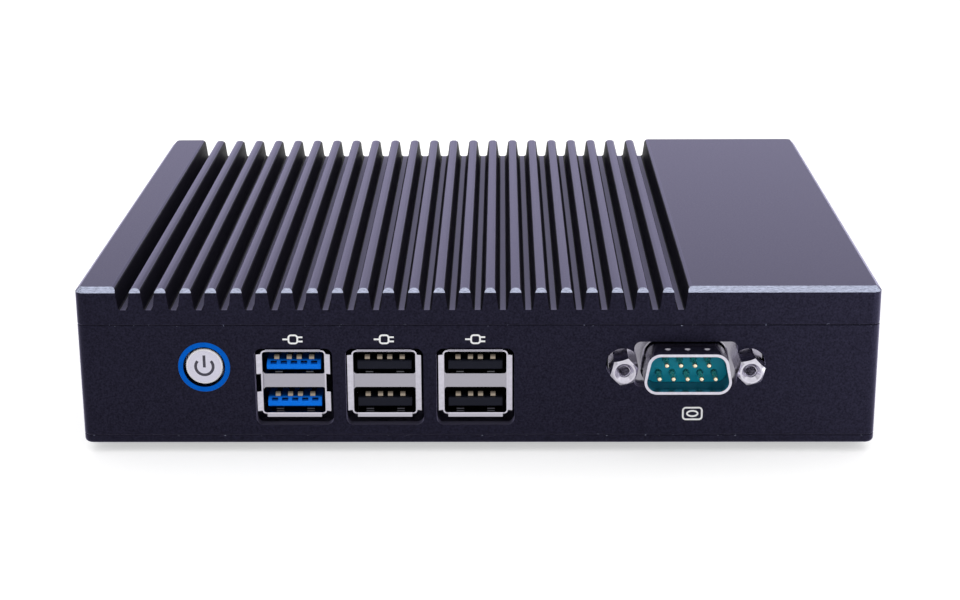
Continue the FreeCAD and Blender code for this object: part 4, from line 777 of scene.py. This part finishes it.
def rounded_box(width, height, radius, x=0.0, z=0.0):
    """Outline of a box with round corners, about a middle point."""
    across, up = width / 2 - radius, height / 2 - radius
    corners = ((1, 1, 0), (-1, 1, 90), (-1, -1, 180), (1, -1, 270))
    outline = []
    for side, rise, start in corners:
        outline += arc(x + side * across, z + rise * up, radius, start, start + 90, CORNER_STEPS)
    return outline


def outward_mesh(name, bm):
    """A plain mesh made from a bmesh, with its faces pointing outwards."""
    bmesh.ops.recalc_face_normals(bm, faces=bm.faces)
    mesh = bpy.data.meshes.new(name)
    bm.to_mesh(mesh)
    bm.free()
    return mesh


def lathe(name, profile, steps):
    """A mesh turned about the Z axis from a profile of (radius, height) points, both ends on the axis."""
    bm = bmesh.new()
    rings = []
    for radius, height in profile:
        if radius == 0.0:
            rings.append([bm.verts.new((0, 0, height))] * steps)
            continue
        angles = [2 * math.pi * step / steps for step in range(steps)]
        rings.append([bm.verts.new((radius * math.cos(a), radius * math.sin(a), height)) for a in angles])
    for low, high in zip(rings, rings[1:]):
        for step in range(steps):
            after = (step + 1) % steps
            corners = [low[step], low[after], high[after], high[step]]
            bm.faces.new(list(dict.fromkeys(corners)))
    return outward_mesh(name, bm)


def bent_strip(name, path, sheet, width):
    """A strip of sheet bent along a path of (y, z) points, about the plane of symmetry."""
    profile = path + [(y, z + sheet) for y, z in reversed(path)]
    bm = bmesh.new()
    sides = [[bm.verts.new((x, y, z)) for y, z in profile] for x in (-width / 2, width / 2)]
    left, right = sides
    for step in range(len(profile)):
        after = (step + 1) % len(profile)
        bm.faces.new((left[step], left[after], right[after], right[step]))
    for step in range(len(path) - 1):
        opposite = len(profile) - 1 - step
        for side in sides:
            bm.faces.new((side[step], side[step + 1], side[opposite - 1], side[opposite]))
    return outward_mesh(name, bm)


def smooth(mesh, degrees=30):
    """Smooth shading with sharp edges past an angle."""
    mesh.shade_smooth()
    mesh.set_sharp_from_angle(angle=math.radians(degrees))
    return mesh


def cut_away(mesh, cutter):
    """A mesh less a cutter mesh."""
    whole = bpy.data.objects.new(mesh.name, mesh)
    tool = bpy.data.objects.new(cutter.name, cutter)
    for item in (whole, tool):
        bpy.context.scene.collection.objects.link(item)
    cut = whole.modifiers.new("cut", "BOOLEAN")
    cut.operation = "DIFFERENCE"
    cut.solver = "EXACT"
    cut.object = tool
    graph = bpy.context.evaluated_depsgraph_get()
    result = bpy.data.meshes.new_from_object(whole.evaluated_get(graph), depsgraph=graph)
    whole.modifiers.remove(cut)
    for item in (whole, tool):
        bpy.data.objects.remove(item)
    return result


def new_piece(name, mesh, body, replaces=()):
    """A finished piece at the origin that rides on a body."""
    piece = bpy.data.objects.new(name, mesh)
    bpy.context.scene.collection.objects.link(piece)
    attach(piece, body)
    if replaces:
        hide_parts(*replaces)
    return piece


def weighted(piece):
    """Lets the large flat faces of a piece set its normals, so that they shade flat."""
    evened = piece.modifiers.new("even normals", "WEIGHTED_NORMAL")
    evened.keep_sharp = True


# Finned lid


def groove_slope(sizes):
    """Lean of a groove's sides in degrees, and how far a rounding of radius 1 runs along the level."""
    lean = math.degrees(math.atan2(sizes.groove_taper, sizes.groove_depth))
    return lean, math.tan(math.radians(45 - lean / 2))


def fin_line(sizes):
    """Line over one fin, from the middle of the groove before it to the middle of the one after it."""
    lean, run = groove_slope(sizes)
    floor = lid_high.z - sizes.groove_depth
    top = lid_high.z - sizes.fin_drop
    foot = sizes.groove_width / 2 - sizes.groove_taper
    mouth = sizes.groove_width / 2 - sizes.groove_taper * sizes.fin_drop / sizes.groove_depth
    root, tip = sizes.root_radius, FIN_TIP_SHARE * (sizes.pitch - 2 * mouth)
    rise = [(0.0, floor)]
    rise += arc(foot - run * root, floor + root, root, 270, 360 - lean)
    rise += arc(mouth + run * tip, top - tip, tip, 180 - lean, 90)
    return rise + [(sizes.pitch - x, z) for x, z in reversed(rise)]


def block_line(sizes):
    """Line from the top of a plain block down to the middle of the groove on its right."""
    lean, run = groove_slope(sizes)
    half = sizes.groove_width / 2
    floor = lid_high.z - sizes.groove_depth
    edge, root = sizes.block_edge, sizes.root_radius
    fall = arc(-half - run * edge, lid_high.z - edge, edge, 90, lean)
    fall += arc(sizes.groove_taper - half + run * root, floor + root, root, 180 + lean, 270)
    return fall + [(0.0, floor)]


def groove_ends(sizes):
    """Middles of the first and the last groove."""
    first = lid_low.x + sizes.left_block + sizes.groove_width / 2
    return first, first + sizes.fins * sizes.pitch


def lid_section(sizes):
    """Lines of the lid's cross-section: one fin that repeats, and the plain rest."""
    first, last = groove_ends(sizes)
    fin = [(first + x, z) for x, z in fin_line(sizes)]
    fall = block_line(sizes)
    rest = [(last - x, z) for x, z in reversed(fall)]
    rest += [
        (lid_high.x, lid_high.z),
        (lid_high.x, lid_low.z),
        (lid_low.x, lid_low.z),
        (lid_low.x, lid_high.z),
    ]
    rest += [(first + x, z) for x, z in fall]
    mesh = line_mesh("lid_section", [(fin, False), (rest, False)], upright=False)
    mark = mesh.attributes.new("repeats", "BOOLEAN", "EDGE")
    mark.data.foreach_set("value", [edge < len(fin) - 1 for edge in range(len(mesh.edges))])
    return mesh


def drawn_finish(face, sizes):
    """Number of the finish that a drawn face of the lid takes."""
    first, last = groove_ends(sizes)
    middle = face.calc_center_median()
    is_finned = first - sizes.pitch / 2 < middle.x < last + sizes.pitch / 2
    if not is_finned or abs(face.normal.y) > END_LEAN:
        return SKIN
    is_root = middle.z < lid_high.z - sizes.groove_depth + sizes.root_radius
    if abs(face.normal.x) > (ROOT_LEAN if is_root else FLANK_LEAN):
        return WALL
    if face.normal.z < 0.0:
        return SKIN
    return FLOOR if is_root else TIP


def is_upright(edge):
    """Whether an edge stands straight up."""
    low, high = (vert.co for vert in edge.verts)
    return (low.xy - high.xy).length < MERGE


def bevel_edges(bm, edges, offset, segments):
    """Rounds or breaks edges of a bmesh."""
    bmesh.ops.bevel(bm, geom=edges, offset=offset, offset_type="OFFSET", segments=segments, profile=0.5,
                    affect="EDGES")


def shave(bm, point, normal, finish_index):
    """Cuts off what lies beyond a plane and closes the cut with faces of the given finish."""
    whole = bm.verts[:] + bm.edges[:] + bm.faces[:]
    cut = bmesh.ops.bisect_plane(bm, geom=whole, plane_co=point, plane_no=normal, clear_outer=True,
                                 dist=MERGE)
    rim = [item for item in cut["geom_cut"] if isinstance(item, bmesh.types.BMEdge)]
    closed = bmesh.ops.holes_fill(bm, edges=rim, sides=0)
    for face in closed["faces"]:
        face.material_index = finish_index


def bevel_rim(bm, sizes):
    """Bevels the upper rim at both ends, along both sides and round the four corners."""
    middle = (lid_low + lid_high) / 2
    half = (lid_high - lid_low) / 2
    low = lid_high.z - sizes.rim_bevel
    for way in (-1, 1):
        shave(bm, (0, middle.y + way * half.y, low), (0, way, 1), MILLED)
        shave(bm, (middle.x + way * half.x, 0, low), (way, 0, 1), SKIN)
    facet = math.pi / 2 / ROUND_STEPS
    reach = sizes.corner_radius * math.cos(facet / 2)
    for across, along in ((1, 1), (-1, 1), (-1, -1), (1, -1)):
        x = middle.x + across * (half.x - sizes.corner_radius)
        y = middle.y + along * (half.y - sizes.corner_radius)
        for step in range(ROUND_STEPS):
            angle = (step + 0.5) * facet
            out = Vector((across * math.cos(angle), along * math.sin(angle), 1.0))
            finish_index = MILLED if angle > sizes.mill_start else SKIN
            shave(bm, (x + reach * out.x, y + reach * out.y, low), out, finish_index)


def lid_mesh():
    """The finned lid: drawn section, round upright corners and a bevelled rim, milled bare at both ends."""
    sizes = lid_sizes()
    mesh = grow(fin_tree(), lid_section(sizes), finish_of("dark_anodised_aluminium"),
                fins=sizes.fins, pitch=sizes.pitch, depth=lid_high.y - lid_low.y, rear=lid_high.y)
    bm = bmesh.new()
    bm.from_mesh(mesh)
    bmesh.ops.remove_doubles(bm, verts=bm.verts, dist=MERGE)
    bmesh.ops.recalc_face_normals(bm, faces=bm.faces)
    for face in bm.faces:
        face.material_index = drawn_finish(face, sizes)
    half_width = (lid_high.x - lid_low.x) / 2
    uprights = [edge for edge in bm.edges
                if is_upright(edge) and abs(edge.verts[0].co.x) > half_width - MERGE]
    bevel_edges(bm, uprights, sizes.corner_radius, ROUND_STEPS)
    rim = [edge for edge in bm.edges if all(vert.co.z < lid_low.z + MERGE for vert in edge.verts)]
    bevel_edges(bm, rim, sizes.seam_break, 1)
    bevel_rim(bm, sizes)
    bmesh.ops.recalc_face_normals(bm, faces=bm.faces)
    # The walls' finish is painted shade, the floors' and tips' finishes painted light, all copies of the
    # anodised skin.
    finishes = {
        SKIN: finish_of("dark_anodised_aluminium"),
        MILLED: milled_bevel(),
        WALL: groove_wall(),
        FLOOR: anodised("groove_floor", colours().groove_floor, sheen=1.0),
        TIP: anodised("fin_tip", shade(colours().anodised, TIP_PAINTED_LIGHT)[:3], sheen=0.95),
    }
    mesh.materials.clear()
    for number in sorted(finishes):
        mesh.materials.append(finishes[number])
    bm.to_mesh(mesh)
    bm.free()
    return smooth(mesh)


class FANLESS_OT_finned_lid(bpy.types.Operator):
    """Makes the finned lid with round fin tips and milled ends"""
    bl_idname = "fanless.finned_lid"
    bl_label = "Finned lid"

    def execute(self, context):
        lid = new_piece("finned_lid", lid_mesh(), "housing", ["top_heatsink"])
        weighted(lid)
        return {"FINISHED"}


# Finishes of the frame


class FANLESS_OT_dress_frame(bpy.types.Operator):
    """Gives every piece of the frame its finish"""
    bl_idname = "fanless.dress_frame"
    bl_label = "Finishes of the frame"

    def execute(self, context):
        for part in frame["record"]["subparts"]:
            mesh = frame["nodes"][part["node"]].data
            mesh.materials.clear()
            mesh.materials.append(finish_of(FINER_FINISHES.get(part["node"], part["material_slot"])))
        return {"FINISHED"}


# Marks


class FANLESS_OT_power_symbol(bpy.types.Operator):
    """Prints the power symbol on the button cap"""
    bl_idname = "fanless.power_symbol"
    bl_label = "Power symbol"

    def execute(self, context):
        sizes = mark_sizes()
        half_gap = math.degrees(sizes.symbol_gap) / 2
        ring = arc(0, 0, sizes.symbol_radius, 90 + half_gap, 450 - half_gap, SYMBOL_STEPS)
        bar = [(0, sizes.symbol_top), (0, -sizes.symbol_bottom)]
        middle = (cap_low + cap_high) / 2
        mesh = grow(line_tree(), line_mesh("power_symbol", [(ring, False), (bar, False)]),
                    panel_print("symbol_print", colours().symbol), line_width=sizes.symbol_line,
                    line_height=sizes.print_height, place=(middle.x, cap_low.y, middle.z))
        new_piece("power_symbol", smooth(mesh), "button")
        return {"FINISHED"}


def plug_mark(sizes):
    """Plain plug: a cord, a body and two prongs, about its middle."""
    left, right = -sizes.plug_width / 2, sizes.plug_width / 2
    body_right = right - PLUG_PRONG_SHARE * sizes.plug_width
    body_left = left + PLUG_CORD_SHARE * sizes.plug_width
    body = rounded_box(body_right - body_left, sizes.plug_height, PLUG_ROUND_SHARE * sizes.plug_height,
                       (body_left + body_right) / 2)
    fork = PLUG_FORK_SHARE * sizes.plug_height
    prongs = [([(body_right, rise), (right, rise)], False) for rise in (-fork, fork)]
    return [(body, True), ([(left, 0), (body_left, 0)], False)] + prongs


class FANLESS_OT_panel_marks(bpy.types.Operator):
    """Prints a plug mark over each stacked socket and a screen mark under the serial connector"""
    bl_idname = "fanless.panel_marks"
    bl_label = "Panel marks"

    def execute(self, context):
        sizes = mark_sizes()
        white = panel_print("panel_print", colours().print)
        tree = line_tree()
        for name in SOCKETS:
            low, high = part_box(f"{name}_sleeve")
            place = ((low.x + high.x) / 2, front_y, high.z + sizes.plug_rise)
            mesh = grow(tree, line_mesh(f"{name}_mark", plug_mark(sizes)), white,
                        line_width=sizes.print_line, line_height=sizes.print_height, place=place)
            new_piece(f"{name}_mark", smooth(mesh), "housing")
        low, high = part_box("serial_sleeve")
        screen = rounded_box(sizes.screen_width, sizes.screen_height, sizes.screen_radius)
        wide, tall = SCREEN_OVAL_SHARES
        picture = [(wide * sizes.screen_width * x, tall * sizes.screen_height * z)
                   for x, z in arc(0, 0, 1, 0, 360, OVAL_STEPS)[:-1]]
        middle = (low + high) / 2
        place = (middle.x + sizes.screen_shift, front_y, middle.z - sizes.screen_drop)
        mesh = grow(tree, line_mesh("screen_mark", [(screen, True), (picture, True)]), white,
                    line_width=sizes.print_line, line_height=sizes.print_height, place=place)
        new_piece("screen_mark", smooth(mesh), "housing")
        return {"FINISHED"}


# Screws and feet


def cross_cutter(sizes):
    """Tapered cross, from below the screw's face into its head."""
    half, reach = sizes.cross_width / 2, sizes.cross_reach
    corner = [(reach, -half), (reach, half), (half, half)]
    outline = []
    for quarter in range(4):
        spin = Matrix.Rotation(quarter * math.pi / 2, 2)
        outline += [spin @ Vector(point) for point in corner]
    bm = bmesh.new()
    below = [bm.verts.new((point.x, point.y, -sizes.cross_depth)) for point in outline]
    deep = [point * CROSS_TAPER_SHARE for point in outline]
    above = [bm.verts.new((point.x, point.y, sizes.cross_depth)) for point in deep]
    bm.faces.new(below)
    bm.faces.new(above)
    for step in range(len(outline)):
        after = (step + 1) % len(outline)
        bm.faces.new((below[step], below[after], above[after], above[step]))
    return outward_mesh("cross", bm)


class FANLESS_OT_cover_screws(bpy.types.Operator):
    """Makes the four countersunk screws of the cover, with cross recesses"""
    bl_idname = "fanless.cover_screws"
    bl_label = "Cover screws"

    def execute(self, context):
        sizes = fastener_sizes()
        finish = finish_of("dark_screw_steel")
        high = screws_high.z - screws_low.z
        neck = sizes.head_radius - sizes.shank_radius
        edge = HEAD_EDGE_SHARE * sizes.head_radius
        screw = lathe("cover_screw", [
            (0.0, 0.0), (sizes.head_radius - edge, 0.0),
            (sizes.head_radius, edge), (sizes.shank_radius, neck),
            (sizes.shank_radius, high - 2 * edge), (sizes.shank_radius - 2 * edge, high), (0.0, high)],
            SCREW_STEPS)
        screw = cut_away(screw, cross_cutter(sizes))
        screw.transform(Matrix.Translation((screws_low.x + sizes.head_radius,
                                            screws_low.y + sizes.head_radius, screws_low.z)))
        mesh = grow(copies_tree(), screw, finish, columns=2, rows=2,
                    column_step=(screws_high.x - screws_low.x - 2 * sizes.head_radius, 0, 0),
                    row_step=(0, screws_high.y - screws_low.y - 2 * sizes.head_radius, 0))
        new_piece("cross_screws", smooth(mesh), "housing", ["cover_screws"])
        return {"FINISHED"}


class FANLESS_OT_round_feet(bpy.types.Operator):
    """Makes the four rubber feet with round lower edges and a shallow dish underneath"""
    bl_idname = "fanless.round_feet"
    bl_label = "Rubber feet"

    def execute(self, context):
        sizes = fastener_sizes()
        high = feet_high.z - feet_low.z
        foot_low = sizes.foot_radius - sizes.foot_edge - sizes.foot_draft
        profile = [(0.0, sizes.foot_dish), (DISH_SHARE * foot_low, sizes.foot_dish),
                   (TREAD_SHARE * foot_low, 0.0)]
        profile += arc(foot_low, sizes.foot_edge, sizes.foot_edge, -90, 0)
        profile += [(sizes.foot_radius, high), (0.0, high)]
        foot = lathe("rubber_foot", profile, FOOT_STEPS)
        corner = (feet_low.x + sizes.foot_radius, feet_low.y + sizes.foot_radius, 0.0)
        foot.transform(Matrix.Translation(corner))
        mesh = grow(copies_tree(), foot, finish_of("black_rubber"), columns=2, rows=2,
                    column_step=(feet_high.x - feet_low.x - 2 * sizes.foot_radius, 0, 0),
                    row_step=(0, feet_high.y - feet_low.y - 2 * sizes.foot_radius, 0))
        new_piece("round_feet", smooth(mesh), "housing", ["rubber_feet"])
        return {"FINISHED"}


class FANLESS_OT_threads(bpy.types.Operator):
    """Makes the threads in the jackscrews and in the bracket bushes"""
    bl_idname = "fanless.threads"
    bl_label = "Threads"

    def execute(self, context):
        sizes = fastener_sizes()
        tree = thread_tree()
        low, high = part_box("serial_jackscrews")
        level_z = (low.z + high.z) / 2
        jacks = [((low.x + high.x + side * sizes.jack_spacing) / 2, low.y + sizes.jack_start, level_z)
                 for side in (-1, 1)]
        low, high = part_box("bracket_bushes")
        bushes = [(x, y, low.z + sizes.bush_pitch / 2)
                  for x in (low.x + sizes.bush_half, high.x - sizes.bush_half)
                  for y in (low.y + sizes.bush_half, high.y - sizes.bush_half)]
        along_y = (math.radians(-90), 0.0, 0.0)
        rows = (
            ("jackscrew_threads", jacks, sizes.jack_bore, sizes.jack_pitch, sizes.jack_thread, along_y),
            ("bush_threads", bushes, sizes.bush_bore, sizes.bush_pitch, sizes.bush_thread, (0.0, 0.0, 0.0)),
        )
        for name, places, bore, pitch, span, turned in rows:
            points = bpy.data.meshes.new(f"{name}_places")
            points.from_pydata(places, [], [])
            mesh = grow(tree, points, finish_of("bright_nickel"), turns=span / pitch, bore=bore,
                        thread_length=span, ridge=RIDGE_SHARE * pitch, turned=turned)
            new_piece(name, smooth(mesh, degrees=60), "housing")
        return {"FINISHED"}


# Springs of the stacked sockets


class FANLESS_OT_port_springs(bpy.types.Operator):
    """Makes the bent springs on the floors of the stacked sockets"""
    bl_idname = "fanless.port_springs"
    bl_label = "Port springs"

    def execute(self, context):
        sizes = socket_sizes()
        rise = sizes.spring_rise
        path = [(sizes.spring_front, SPRING_LIP_SHARE * rise), (sizes.spring_ridge, rise),
                (SPRING_FLAT_SHARE * sizes.spring_ridge, rise), (sizes.spring_rear, 0.0)]
        spring = bent_strip("port_spring", path, sizes.spring_sheet, sizes.spring_width)
        tree = copies_tree()
        for name in SOCKETS:
            low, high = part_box(f"{name}_sleeve")
            first = spring.copy()
            first.transform(Matrix.Translation(((low.x + high.x) / 2 - sizes.spring_offset, low.y,
                                                low.z + sizes.floor)))
            mesh = grow(tree, first, finish_of("spring_steel"), columns=2, rows=2,
                        column_step=(2 * sizes.spring_offset, 0, 0), row_step=(0, 0, sizes.port_step))
            new_piece(f"{name}_springs", smooth(mesh), "housing")
        return {"FINISHED"}


# Stage


def pale_floor(stage):
    """Slightly glossy white floor, seen brighter than it is lit, in shiny surfaces most on the right."""
    finish = grained("pale_floor", stage.floor_colour, grain=3.0, spread=0.01, roughness=0.25,
                     rough_spread=0.02, relief=0.0, gloss={"Specular IOR Level": 0.35,
                                                           "Emission Color": (1.0, 1.0, 1.0, 1.0)})
    tree = finish.node_tree
    path = add(tree, "ShaderNodeLightPath")
    direct = maths(tree, "MULTIPLY", path.outputs["Is Camera Ray"], stage.floor_glow)
    shiny = maths(tree, "MAXIMUM", path.outputs["Is Glossy Ray"], path.outputs["Is Transmission Ray"])
    side = add(tree, "ShaderNodeMapRange", inputs={
        "Value": along(finish, "X"), "From Max": stage.side_reach})
    rising = maths(tree, "MULTIPLY", maths(tree, "POWER", side.outputs["Result"], 2.0), stage.side_glow)
    mirrored = maths(tree, "MULTIPLY", shiny, maths(tree, "ADD", rising, stage.mirror_glow))
    glow = maths(tree, "MAXIMUM", direct, mirrored)
    feed(tree, glow, tree.nodes["Principled BSDF"].inputs["Emission Strength"])
    return finish


def new_floor(stage):
    """Square floor under the feet."""
    half = stage.floor_size / 2
    mesh = bpy.data.meshes.new("floor")
    mesh.from_pydata([(-half, -half, 0), (half, -half, 0), (half, half, 0), (-half, half, 0)], [],
                     [(0, 1, 2, 3)])
    mesh.materials.append(pale_floor(stage))
    floor = bpy.data.objects.new("floor", mesh)
    bpy.context.scene.collection.objects.link(floor)


def white_surroundings(stage):
    """World that is white near the horizon and dimmer overhead."""
    world = bpy.data.worlds.new("white_surroundings")
    world.use_nodes = True
    tree = world.node_tree
    place = add(tree, "ShaderNodeTexCoord")
    split = add(tree, "ShaderNodeSeparateXYZ", inputs={"Vector": place.outputs["Generated"]})
    fade = add(tree, "ShaderNodeMapRange", inputs={
        "Value": split.outputs["Z"], "To Min": stage.horizon, "To Max": stage.overhead})
    sky = tree.nodes["Background"].inputs
    feed(tree, (1.0, 1.0, 1.0, 1.0), sky["Color"])
    feed(tree, fade.outputs["Result"], sky["Strength"])
    bpy.context.scene.world = world


def soft_lamp(stage):
    """One broad soft lamp from above."""
    data = bpy.data.lights.new("soft_lamp", "SUN")
    data.energy = stage.lamp
    data.angle = stage.lamp_angle
    lamp = bpy.data.objects.new("soft_lamp", data)
    lamp.rotation_euler = (stage.lamp_front, stage.lamp_right, 0)
    bpy.context.scene.collection.objects.link(lamp)


def new_camera(stage):
    """Camera at the photograph's place and angle."""
    pitch, yaw, roll = stage.pitch, stage.yaw, stage.roll
    ahead = Vector((math.sin(yaw) * math.cos(pitch), math.cos(yaw) * math.cos(pitch), -math.sin(pitch)))
    level_right = Vector((math.cos(yaw), -math.sin(yaw), 0))
    level_up = level_right.cross(ahead)
    right = level_right * math.cos(roll) + level_up * math.sin(roll)
    up = level_up * math.cos(roll) - level_right * math.sin(roll)
    data = bpy.data.cameras.new("camera")
    data.lens = stage.lens
    data.clip_start = 10 * MM
    camera = bpy.data.objects.new("camera", data)
    camera.matrix_world = Matrix.Translation(stage.camera_place) @ Matrix(
        (right, up, -ahead)).transposed().to_4x4()
    bpy.context.scene.collection.objects.link(camera)
    bpy.context.scene.camera = camera


class FANLESS_OT_stage(bpy.types.Operator):
    """Sets up the floor, the light and the camera"""
    bl_idname = "fanless.stage"
    bl_label = "Stage"

    def execute(self, context):
        stage = context.scene.fanless_stage
        new_floor(stage)
        white_surroundings(stage)
        soft_lamp(stage)
        new_camera(stage)
        context.scene.view_settings.view_transform = "Standard"
        return {"FINISHED"}


class FANLESS_PT_panel(bpy.types.Panel):
    """Lists the steps that dress the part"""
    bl_idname = "FANLESS_PT_panel"
    bl_label = "Fanless computer"
    bl_space_type = "VIEW_3D"
    bl_region_type = "UI"
    bl_category = "Part"

    def draw(self, context):
        for step in STEPS:
            self.layout.operator(step.bl_idname)


SETTINGS = {
    "fanless_lid": FanlessLidSizes,
    "fanless_marks": FanlessMarkSizes,
    "fanless_fasteners": FanlessFastenerSizes,
    "fanless_sockets": FanlessSocketSizes,
    "fanless_colours": FanlessColours,
    "fanless_stage": FanlessStage,
}
STEPS = (
    FANLESS_OT_dress_frame,
    FANLESS_OT_finned_lid,
    FANLESS_OT_power_symbol,
    FANLESS_OT_panel_marks,
    FANLESS_OT_cover_screws,
    FANLESS_OT_round_feet,
    FANLESS_OT_threads,
    FANLESS_OT_port_springs,
    FANLESS_OT_stage,
)


def register():
    for name, group in SETTINGS.items():
        bpy.utils.register_class(group)
        setattr(bpy.types.Scene, name, bpy.props.PointerProperty(type=group))
    for step in STEPS:
        bpy.utils.register_class(step)
    bpy.utils.register_class(FANLESS_PT_panel)


def unregister():
    bpy.utils.unregister_class(FANLESS_PT_panel)
    for step in reversed(STEPS):
        bpy.utils.unregister_class(step)
    for name, group in SETTINGS.items():
        delattr(bpy.types.Scene, name)
        bpy.utils.unregister_class(group)


def main():
    register()
    bpy.ops.fanless.dress_frame()
    bpy.ops.fanless.finned_lid()
    bpy.ops.fanless.power_symbol()
    bpy.ops.fanless.panel_marks()
    bpy.ops.fanless.cover_screws()
    bpy.ops.fanless.round_feet()
    bpy.ops.fanless.threads()
    bpy.ops.fanless.port_springs()
    bpy.ops.fanless.stage()


if __name__ == "__main__":
    main()
